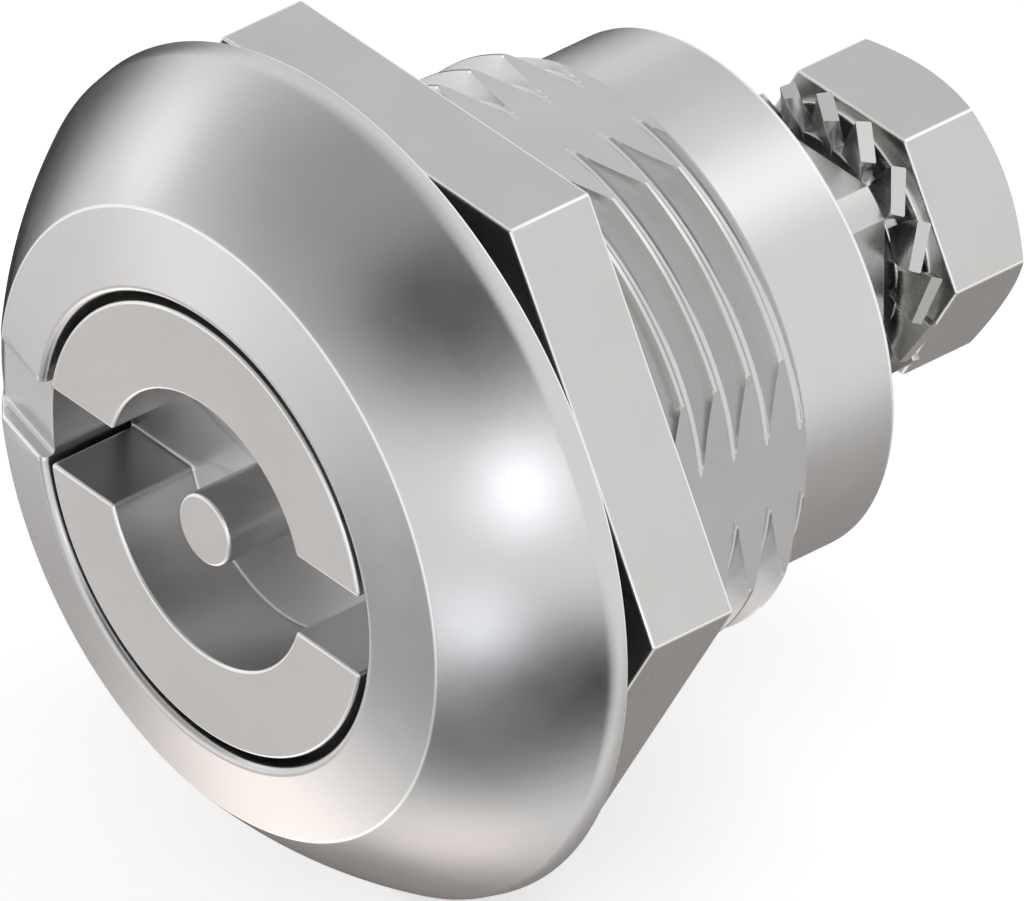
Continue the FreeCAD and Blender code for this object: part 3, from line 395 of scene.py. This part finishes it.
nut = rounded_prism("panel_nut", hexagon(NUT_FLATS, 0.14), NUT_FRONT, NUT_BACK, 0.12, 0.12)
rod = turned("rod", [(0, 0), (NUT_THREAD, 0), (NUT_THREAD, ROD_END), (0, ROD_END)])
ridge = groove_section(NUT_THREAD, NUT_BORE, root_round=0.08, crest_round=0.03, land=0.24)
shaped(rod, helical("ridge", ridge, FIRST_RIDGE, RIDGE_TURNS))
for face, away in ((NUT_FRONT, -1), (NUT_BACK, 1)):
    shaped(rod, turned("countersink", [(SINK_INSIDE, face - away * SINK_DEPTH), (SINK_OUTSIDE, face + away),
                                       (SINK_INSIDE, face + away)]), "UNION")
shaped(nut, rod)

# Nickel plate on drawn and turned steel, not blasted: smooth, with a slightly uneven dull sheen. The
# grain is drawn at 0.06 mm so that it shows.
nickel_steel = metal("nickel_plated_steel", ("c4c3c1", "cdccca"), (0.26, 0.33), 0.06, 0.0008)
finished(nut, "housing", ["hex_nut"], nickel_steel)

# Gasket: a ring of dark grey nitrile rubber, cut from sheet, loose in the pocket behind the head. It
# stands a little proud of the lip, and the panel would press it flat.
GASKET_INSIDE, GASKET_OUTSIDE, GASKET_BACK = 11.05, 15.57, 0.15
gasket = turned("head_gasket", filleted([
    (GASKET_INSIDE, POCKET, 0.05), (GASKET_OUTSIDE, POCKET, 0.05),
    (GASKET_OUTSIDE, GASKET_BACK, 0.08), (GASKET_INSIDE, GASKET_BACK, 0.08)]), 192)


def soft(name, colour, rough, grain_mm, grain_depth_mm):
    """Rubber or plastic: an even colour with a fine grain in its surface."""
    made = bpy.data.materials.new(name)
    made.use_nodes = True
    tree = made.node_tree
    tree.nodes.clear()
    place = node(tree, "TexCoord").outputs["Object"]
    grain = node(tree, "TexNoise", {"Scale": 1 / (grain_mm * MM), "Detail": 4}, Vector=place)
    tint = node(tree, "MixRGB", Fac=grain.outputs["Fac"])
    tint.inputs["Color1"].default_value = linear(colour[0])
    tint.inputs["Color2"].default_value = linear(colour[1])
    roughness = node(tree, "MapRange", {"To Min": rough[0], "To Max": rough[1]},
                     Value=grain.outputs["Fac"])
    relief = node(tree, "Bump", {"Strength": 1.0, "Distance": grain_depth_mm * MM},
                  Height=grain.outputs["Fac"])
    shader = node(tree, "BsdfPrincipled", {"IOR": 1.5}, Base_Color=tint.outputs["Color"],
                  Roughness=roughness.outputs["Result"], Normal=relief.outputs["Normal"])
    node(tree, "OutputMaterial", Surface=shader.outputs["BSDF"])
    return made


# Nitrile rubber, moulded or cut from sheet: dark grey and matt, with a dusty grain of 0.15 mm.
rubber = soft("nitrile_rubber", ("525251", "5e5e5d"), (0.55, 0.75), 0.15, 0.004)
finished(gasket, "housing", ["flange_gasket"], rubber)

# Key insert: turned from steel, with the double-bit socket milled in its face, so that two C-shaped
# walls stand round the centre pin. A tenon with two flats carries the turn to the cam sleeve.
INSERT, INSERT_LAND, SEAL_GROOVE, TENON, BLIND_BORE = 8.57, 8.72, 7.5, 5, 3.7
INSERT_FACE, SOCKET_FLOOR, WEB, SEAL_FRONT, SEAL_BACK = -5.82, -2.17, -0.97, -0.6, 1.2
INSERT_BACK, TENON_END, TENON_FLAT = 1.8, 3.1, 4.4
SOCKET, BIT_HALF, KEY_PIN = 5.26, 1.6, 1.38
insert = turned("key_insert_body", filleted([
    (0, SOCKET_FLOOR, 0), (INSERT - 0.02, SOCKET_FLOOR, 0), (INSERT - 0.02, SEAL_START, 0),
    (INSERT_LAND, -1.55, 0), (INSERT_LAND, SEAL_FRONT, 0.05), (SEAL_GROOVE, SEAL_FRONT, 0),
    (SEAL_GROOVE, SEAL_BACK, 0), (INSERT_LAND, SEAL_BACK, 0.05), (INSERT_LAND, INSERT_BACK, 0.1),
    (TENON, INSERT_BACK, 0), (TENON, TENON_END, 0.1), (BLIND_BORE, TENON_END, 0.1),
    (BLIND_BORE, WEB, 0), (0, WEB, 0)]), 240)
for side in (-1, 1):
    low, high = sorted((side * TENON_FLAT, side * (TENON + 0.5)))
    shaped(insert, box("tenon_flat", (low, INSERT_BACK, -4), (high, 4, 4)))


def c_wall(sign):
    """The outline of one of the two walls round the socket, with its four corners rounded."""
    corner = 0.16
    outer_hub, inner_hub = INSERT - corner, SOCKET + corner
    outer = math.asin((BIT_HALF + corner) / outer_hub)
    inner = math.asin((BIT_HALF + corner) / inner_hub)

    def rounding(hub, angle, start, swing):
        centre = (hub * math.cos(angle), hub * math.sin(angle))
        return arc(centre, corner, start, start + swing, 5)[1:]

    outline = arc((0, 0), INSERT, outer, math.pi - outer, 96)
    outline += rounding(outer_hub, math.pi - outer, math.pi - outer, math.pi / 2 + outer)
    outline += rounding(inner_hub, math.pi - inner, 1.5 * math.pi, math.pi / 2 - inner)
    outline += arc((0, 0), SOCKET, math.pi - inner, inner, 72)[1:]
    outline += rounding(inner_hub, inner, math.pi + inner, math.pi / 2 - inner)
    outline += rounding(outer_hub, outer, 1.5 * math.pi, math.pi / 2 + outer)
    return [(x, sign * z) for x, z in outline[:-1]]


def standing(name, outline):
    """A wall or pin on the socket's floor, with a rounded front edge and a fillet round its root."""
    edge_round, root_round, sunk = 0.12, 0.14, 0.2
    quarter = [math.pi / 2 * k / 5 for k in range(6)]
    levels = [(INSERT_FACE + edge_round * (1 - math.cos(a)), edge_round * (1 - math.sin(a)))
              for a in quarter]
    levels += [(SOCKET_FLOOR - root_round * (1 - math.sin(a)), -root_round * (1 - math.cos(a)))
               for a in quarter]
    levels.append((SOCKET_FLOOR + sunk, -root_round))
    return lofted(name, [[(x, y, z) for x, z in inset(outline, amount)] for y, amount in levels])


for sign in (-1, 1):
    wall = standing("socket_wall", c_wall(sign))
    shaped(wall, turned("rim", [(0, -7), (INSERT, -7), (INSERT, 0), (0, 0)], 240), "INTERSECT")
    shaped(insert, wall, "UNION")
shaped(insert, standing("key_pin", arc((0, 0), KEY_PIN, 0, FULL_TURN, 64)[:-1]), "UNION")

# Nickel plate on blasted steel: paler and more matt than the housing, with a sparkle from its grain,
# which is drawn at 0.08 mm, coarser than the real one, so that it shows.
blasted_nickel = metal("blasted_nickel", ("cbcac9", "d5d4d3"), (0.28, 0.34), 0.08, 0.006)
finished(insert, "actuator", ["key_insert"], blasted_nickel)

# Guide bush: sintered steel, a tube with two straight slots for the cross pin, and behind it a hub
# with two lobes that stop against the ribs of the tail. A circlip holds it in.
BUSH_INSIDE, BUSH_TUBE, BUSH_FRONT, TUBE_END = 5.1, 6.15, 3.5, 14.6
HUB_INSIDE, HUB, LOBE, LOBE_HALF, HUB_FRONT = 5.4, 7.2, 8.6, 24, 14.0
LINING_START, LINING_END, LINING_CHAMFER = 14.3, 15.7, 0.12
SLOT_HALF, SLOT_START, SLOT_END, SLOT_REACH = 1.55, 2.4, 9.4, 9


def cross_drill(name, station, radius, reach):
    """A round tool along X, for a hole across the axis."""
    outline = arc((station, 0), radius, 0, FULL_TURN, 64)[:-1]
    return lofted(name, [[(x, y, z) for y, z in outline] for x in (-reach, reach)])


bush = turned("guide_bush_body", filleted([
    (BUSH_INSIDE, BUSH_FRONT, 0), (BUSH_TUBE, BUSH_FRONT, 0.1), (BUSH_TUBE, TUBE_END, 0),
    (HUB_INSIDE, TUBE_END, 0), (BUSH_INSIDE, TUBE_END, 0)]), 192)
hub_outline = []
for middle in (0, 180):
    hub_outline += arc((0, 0), LOBE, math.radians(middle - LOBE_HALF), math.radians(middle + LOBE_HALF), 28)
    hub_outline += arc((0, 0), HUB, math.radians(middle + LOBE_HALF + 1),
                       math.radians(middle + 180 - LOBE_HALF - 1), 60)
hub = rounded_prism("hub", hub_outline, HUB_FRONT, BUSH_END, 0.08, 0.12)
shaped(hub, turned("bore", [(0, 13), (HUB_INSIDE, 13), (HUB_INSIDE, 17), (0, 17)], 192))
shaped(bush, turned("lining", [
    (BUSH_INSIDE, LINING_START), (BUSH_TUBE, LINING_START), (BUSH_TUBE, LINING_END),
    (BUSH_INSIDE + LINING_CHAMFER, LINING_END), (BUSH_INSIDE, LINING_END - LINING_CHAMFER)], 192), "UNION")
shaped(bush, hub, "UNION")
shaped(bush, box("slot", (-SLOT_REACH, SLOT_START, -SLOT_HALF), (SLOT_REACH, SLOT_END, SLOT_HALF)))
shaped(bush, cross_drill("slot_end", SLOT_END, SLOT_HALF, SLOT_REACH))

# Sintered steel, pressed and sized: darker and duller than plate, with fine pores drawn at 0.12 mm.
sintered = metal("sintered_steel", ("8f8c88", "a09d99"), (0.4, 0.52), 0.12, 0.003)
finished(bush, "bush", ["guide_bush"], sintered)

# Circlip: stamped from spring steel, with a punched eye at each end for the pliers. It lies in the
# groove of the tail, open at the bottom, and keeps the bush in.
CLIP_OUTSIDE, CLIP_INSIDE, CLIP_FRONT, CLIP_BACK, CLIP_ROUND = 9.13, 7.63, 15.85, 16.75, 0.06
CLIP_START, CLIP_STOP, EYE, EYE_HOLE = math.radians(-70), math.radians(250), 1.15, 0.55
strip = (arc((0, 0), CLIP_OUTSIDE, CLIP_START, CLIP_STOP, 150)
         + arc((0, 0), CLIP_INSIDE, CLIP_STOP, CLIP_START, 150))
circlip = rounded_prism("tail_circlip", strip, CLIP_FRONT, CLIP_BACK, CLIP_ROUND, CLIP_ROUND)
for side in (-1, 1):
    eye = (side * CLIP_INSIDE * math.sin(math.radians(20)), -CLIP_INSIDE * math.cos(math.radians(20)))
    shaped(circlip, rounded_prism("eye", arc(eye, EYE, 0, FULL_TURN, 48)[:-1], CLIP_FRONT, CLIP_BACK,
                                  CLIP_ROUND, CLIP_ROUND), "UNION")
    shaped(circlip, prism("hole", arc(eye, EYE_HOLE, 0, FULL_TURN, 32)[:-1], 15, 17.4))

# Phosphated spring steel: dark grey with a slight satin sheen and hardly any grain.
spring_steel = metal("phosphated_spring_steel", ("5d5c5a", "6c6b69"), (0.34, 0.46), 0.05, 0.001)
finished(circlip, "housing", ["bush_circlip"], spring_steel)

# Drive shaft: a steel bar of 10.1 mm with a cross hole for its pin, milled to an 8 mm square with
# turned corners where the cam sits, and tapped M6 from the back.
SHAFT, SHAFT_FRONT, SHAFT_CHAMFER, SQUARE_START, SHAFT_END = 5.05, 3.4, 0.3, 18.8, 21.9
SQUARE_HALF, SQUARE_CORNER, TAP, TAP_TIP, TAP_START = 4, 5.04, 3.02, 8.1, 9.9
PIN_HOLE, PIN_STATION, DRILL_REACH = 1.51, 5.4, 6
shaft = turned("drive_shaft_bar", filleted([
    (0, SHAFT_FRONT, 0), (SHAFT - SHAFT_CHAMFER, SHAFT_FRONT, 0), (SHAFT, SHAFT_FRONT + SHAFT_CHAMFER, 0),
    (SHAFT, SQUARE_START, 0.05), (0, SQUARE_START, 0)]), 192)
square = []
half_arc = math.pi / 4 - math.acos(SQUARE_HALF / SQUARE_CORNER)
for quarter in range(4):
    corner = quarter * math.pi / 2 + math.pi / 4
    square += arc((0, 0), SQUARE_CORNER, corner - half_arc, corner + half_arc, 8)
shaped(shaft, rounded_prism("tang", square, SQUARE_START - 1, SHAFT_END, 0, 0.12), "UNION")
shaped(shaft, turned("tapped_hole", [(0, TAP_TIP), (TAP, TAP_START), (TAP, 22.5), (0, 22.5)], 96))
shaped(shaft, cross_drill("cross_hole", PIN_STATION, PIN_HOLE, DRILL_REACH))
finished(shaft, "shaft", ["drive_shaft"], nickel_steel)

# Lock washer: stamped from spring steel sheet and plated. Each of its 16 outer teeth is twisted, so
# that its corners bite into the cam and the screw's head.
WASHER_HOLE, WASHER_RING, WASHER_MIDDLE, SHEET, EASED = 3.2, 4.1, 22.607, 0.57, 0.06
TEETH, TOOTH_ROOT, TOOTH_TIP, ROOT_WIDTH, TIP_WIDTH = 16, 3.75, 5.46, 1.1, 1.8
ROOT_TWIST, TWIST = 3, 29
washer = turned("tooth_washer", filleted([
    (WASHER_HOLE, WASHER_MIDDLE - SHEET / 2, EASED), (WASHER_RING, WASHER_MIDDLE - SHEET / 2, EASED),
    (WASHER_RING, WASHER_MIDDLE + SHEET / 2, EASED), (WASHER_HOLE, WASHER_MIDDLE + SHEET / 2, EASED)]), 128)


def tooth_rings(angle):
    """Sections of one tooth from inside the ring to its tip, which widen and twist on the way."""
    rings = []
    for k in range(9):
        t = k / 8
        reach = TOOTH_ROOT + (TOOTH_TIP - TOOTH_ROOT) * t
        half = (ROOT_WIDTH + (TIP_WIDTH - ROOT_WIDTH) * min(1, 1.25 * t)) / 2
        twist = math.radians(ROOT_TWIST + TWIST * (t * t * (3 - 2 * t)))
        section = filleted([(-half, -SHEET / 2, EASED), (half, -SHEET / 2, EASED),
                            (half, SHEET / 2, EASED), (-half, SHEET / 2, EASED)], 2)
        ring = []
        for along, up in section:
            side = along * math.cos(twist) - up * math.sin(twist)
            rise = along * math.sin(twist) + up * math.cos(twist)
            out = math.sqrt(reach * reach - side * side)
            ring.append((out * math.cos(angle) - side * math.sin(angle), WASHER_MIDDLE + rise,
                         out * math.sin(angle) + side * math.cos(angle)))
        rings.append(ring)
    return rings


for k in range(TEETH):
    shaped(washer, lofted("tooth", tooth_rings(FULL_TURN * k / TEETH)), "UNION")
finished(washer, "shaft", ["lock_washer"], nickel_steel, sharp=40)

# Cam screw: an M6 hexagon screw, cold headed, with a washer face under the head and its corners
# turned off at 30 degrees behind. It clamps the cam on the square.
HEAD_FLATS, HEAD_REACH, HEAD_START, HEAD_END, CROWN_START, CROWN = 10, 7.2, 23.64, 27.64, 25.94, 4.25
COLLAR, COLLAR_START, SHANK, SHANK_END, SHANK_CHAMFER = 4.7, 23.3, 3, 13.32, 0.5
screw = rounded_prism("cam_screw_head", hexagon(HEAD_FLATS, 0.14), HEAD_START, HEAD_END, 0.09, 0)
crown = turned("crown", filleted([
    (0, HEAD_START - 1, 0), (HEAD_REACH, HEAD_START - 1, 0), (HEAD_REACH, CROWN_START, 0),
    (CROWN, HEAD_END, 0.25), (0, HEAD_END, 0)], 6), 192)
shaped(screw, crown, "INTERSECT")
shank = turned("shank", filleted([
    (0, SHANK_END, 0), (SHANK - SHANK_CHAMFER, SHANK_END, 0), (SHANK, SHANK_END + SHANK_CHAMFER, 0),
    (SHANK, COLLAR_START, 0), (COLLAR, COLLAR_START, 0.08), (COLLAR, HEAD_START + 0.2, 0),
    (0, HEAD_START + 0.2, 0)]), 128)
shaped(screw, shank, "UNION")
finished(screw, "shaft", ["cam_screw"], nickel_steel)

# Inside pieces that keep their solids: the cam sleeve and cross pin of hardened steel, the rings and
# the spring of spring steel, the seal of nitrile rubber and the thrust washer of acetal.

# Hardened steel, ground: a darker and sharper gloss than plate, with fine marks 0.08 mm apart.
ground_steel = metal("ground_hard_steel", ("a5a4a3", "b3b2b0"), (0.18, 0.26), 0.05, 0.0005, 0.08, 0.0006)

# Acetal, moulded: off-white with a waxy sheen and a faint grain.
acetal = soft("natural_acetal", ("e2dfd6", "e9e7e0"), (0.35, 0.45), 0.3, 0.002)

for name, material in (("cam_sleeve", ground_steel), ("cross_pin", ground_steel),
                       ("sleeve_snap_ring", spring_steel), ("return_spring", spring_steel),
                       ("insert_seal", rubber), ("thrust_washer", acetal)):
    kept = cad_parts[name]
    kept.data.materials.clear()
    kept.data.materials.append(material)

# Studio: a pale floor just under the head's rim, a white surround and two soft lamps. The metal
# shows the surround and, instead of floor and lamps, dark and bright cards that only reflections
# see, as a photographer sets them for bare metal.
FLOOR_HEIGHT, FLOOR_HALF, FILL, FLOOR_GLOW = -16.1, 900, 0.55, 0.5
AIM = Vector((0, 8 * MM, 0))


def background_rays(tree):
    """A factor of 1 for the rays that show the background: camera, glossy and transmission rays."""
    rays = node(tree, "LightPath")
    factor = rays.outputs["Is Camera Ray"]
    for kind in ("Is Glossy Ray", "Is Transmission Ray"):
        either = node(tree, "Math", {"operation": "MAXIMUM"})
        tree.links.new(factor, either.inputs[0])
        tree.links.new(rays.outputs[kind], either.inputs[1])
        factor = either.outputs[0]
    return factor


surround = bpy.data.worlds.new("studio")
bpy.context.scene.world = surround
surround.use_nodes = True
tree = surround.node_tree
tree.nodes.clear()
fill = node(tree, "Background", {"Color": (1, 1, 1, 1), "Strength": FILL})
white = node(tree, "Background", {"Color": (1, 1, 1, 1), "Strength": 1.0})
both = node(tree, "MixShader", Fac=background_rays(tree))
tree.links.new(fill.outputs[0], both.inputs[1])
tree.links.new(white.outputs[0], both.inputs[2])
node(tree, "OutputWorld", Surface=both.outputs[0])

paper = bpy.data.materials.new("white_paper")
paper.use_nodes = True
tree = paper.node_tree
tree.nodes.clear()
matt = node(tree, "BsdfPrincipled", {"Base Color": linear("f7f7f6"), "Roughness": 0.9, "IOR": 1.4})
glow = node(tree, "Emission", {"Color": (1, 1, 1, 1), "Strength": FLOOR_GLOW})
lifted = node(tree, "AddShader")
tree.links.new(matt.outputs[0], lifted.inputs[0])
tree.links.new(glow.outputs[0], lifted.inputs[1])
both = node(tree, "MixShader", Fac=background_rays(tree))
tree.links.new(matt.outputs[0], both.inputs[1])
tree.links.new(lifted.outputs[0], both.inputs[2])
node(tree, "OutputMaterial", Surface=both.outputs[0])
floor = mesh_piece("floor", [(x * FLOOR_HALF, y * FLOOR_HALF, FLOOR_HEIGHT)
                             for x, y in ((-1, -1), (1, -1), (1, 1), (-1, 1))], [(0, 1, 2, 3)])
floor.data.materials.append(paper)
floor.visible_glossy = False


def direction(azimuth, elevation):
    """A direction from the latch: azimuth 0 is in front of the head and 90 on the side of +X."""
    a, e = math.radians(azimuth), math.radians(elevation)
    return Vector((math.sin(a) * math.cos(e), -math.cos(a) * math.cos(e), math.sin(e)))


def lamp(name, azimuth, elevation, distance_mm, size_mm, glow):
    """A soft lamp with a rectangular face. glow is how bright that face is, where 1 is white."""
    light = bpy.data.lights.new(name, "AREA")
    light.shape = "RECTANGLE"
    light.size, light.size_y = size_mm[0] * MM, size_mm[1] * MM
    light.energy = glow * math.pi * light.size * light.size_y
    made = bpy.data.objects.new(name, light)
    bpy.context.collection.objects.link(made)
    made.location = AIM + direction(azimuth, elevation) * distance_mm * MM
    made.rotation_mode = "QUATERNION"
    made.rotation_quaternion = direction(azimuth, elevation).to_track_quat("Z", "Y")
    made.visible_glossy = False


lamp("key_lamp", 47, 14, 420, (80, 100), 1.5)
lamp("top_lamp", 165, 62, 420, (260, 200), 1.3)


def soft_edged(name, colour, strength, opacity):
    """A round patch that glows or darkens, strongest in the middle and clear at its edge."""
    made = bpy.data.materials.new(name)
    made.use_nodes = True
    tree = made.node_tree
    tree.nodes.clear()
    place = node(tree, "TexCoord").outputs["Generated"]
    shift = node(tree, "VectorMath", {"operation": "SUBTRACT"})
    tree.links.new(place, shift.inputs[0])
    shift.inputs[1].default_value = (0.5, 0.5, 0.5)
    reach = node(tree, "VectorMath", {"operation": "LENGTH"})
    tree.links.new(shift.outputs[0], reach.inputs[0])
    fade = node(tree, "MapRange", {"interpolation_type": "SMOOTHSTEP", "From Min": 0.05, "From Max": 0.5,
                                   "To Min": opacity, "To Max": 0.0}, Value=reach.outputs["Value"])
    clear = node(tree, "BsdfTransparent")
    face = node(tree, "Emission", {"Color": linear(colour), "Strength": strength})
    both = node(tree, "MixShader", Fac=fade.outputs["Result"])
    tree.links.new(clear.outputs[0], both.inputs[1])
    tree.links.new(face.outputs[0], both.inputs[2])
    node(tree, "OutputMaterial", Surface=both.outputs[0])
    return made


def spot(name, azimuth, elevation, spread, distance_mm, colour, strength, opacity):
    """A card that only reflections see, square to its direction and as wide as a cone of spread degrees."""
    half = distance_mm * math.tan(math.radians(spread / 2))
    way = direction(azimuth, elevation)
    across = way.cross(Vector((0, 0, 1))).normalized()
    up = across.cross(way)
    centre = AIM / MM + way * distance_mm
    card = mesh_piece(name, [centre + across * half * i + up * half * j
                             for i, j in ((-1, -1), (1, -1), (1, 1), (-1, 1))], [(0, 1, 2, 3)])
    card.data.materials.append(soft_edged(name, colour, strength, opacity))
    card.visible_camera = card.visible_diffuse = card.visible_shadow = card.visible_transmission = False


# Dark cards first, then the bright ones, which hang nearer to the latch.
spot("top_shade", -15, 54, 112, 330, "ffffff", 0.3, 0.8)
spot("top_flag", 28, 46, 62, 322, "ffffff", 0.0, 0.85)
spot("left_shade", -105, -7, 66, 318, "ffffff", 0.05, 0.9)
spot("left_flag", -116, -28, 68, 300, "ffffff", 0.0, 1.0)
spot("right_flag", 65, -34, 58, 302, "ffffff", 0.0, 0.95)
spot("rear_floor_shade", -165, -60, 100, 334, "fff0ea", 0.18, 0.75)
spot("left_floor_shade", -100, -54, 84, 328, "fff0ea", 0.22, 0.75)
spot("rear_left_shade", -134, 38, 64, 326, "ffffff", 0.6, 0.55)
spot("rear_right_shade", 134, -40, 60, 324, "fffaf6", 0.4, 0.62)
spot("low_right_shade", 35, -50, 66, 314, "ffffff", 0.15, 0.9)
spot("ring_shade", -17, -32, 50, 322, "ffffff", 0.2, 0.75)
spot("front_shade", -50, -30, 40, 321, "fff0ea", 0.55, 0.4)
spot("key_halo", 56, 4, 46, 290, "f4f8ff", 1.05, 0.5)
spot("key_glow", 48, 11, 30, 280, "f4f8ff", 2.5, 0.9)
spot("low_key_glow", 40, -20, 26, 286, "eef3ff", 1.9, 0.8)
spot("left_glow", -72, 14, 32, 281, "ffffff", 1.5, 0.85)
spot("ring_glow", -43, -11, 32, 287, "ffffff", 1.5, 0.6)
spot("top_glow", 156, 52, 42, 282, "ffffff", 1.6, 0.9)
spot("front_glow", -58, -57, 40, 283, "fff5f0", 2.3, 0.9)
spot("low_glow", -20, -82, 30, 285, "fff0ea", 1.45, 0.6)

# Camera: a long lens from the front, right and above, as the photograph was taken. It looks at a
# point near the middle of the latch, at which the picture is 35.84 mm wide.
LENS, SENSOR, VIEW_WIDTH = 1400.0, 36.0, 35.84
AZIMUTH, ELEVATION = 50.07, 34.76
VIEWED = Vector((0.14, 8.04, -2.71)) * MM
back = direction(AZIMUTH, ELEVATION)
camera = bpy.data.objects.new("camera", bpy.data.cameras.new("camera"))
bpy.context.collection.objects.link(camera)
bpy.context.scene.camera = camera
camera.data.lens, camera.data.sensor_width = LENS, SENSOR
camera.data.clip_start, camera.data.clip_end = 0.1, 20
camera.location = VIEWED + back * (LENS / SENSOR * VIEW_WIDTH * MM)
camera.rotation_mode = "QUATERNION"
camera.rotation_quaternion = back.to_track_quat("Z", "Y")
bpy.context.scene.view_settings.view_transform = "Standard"
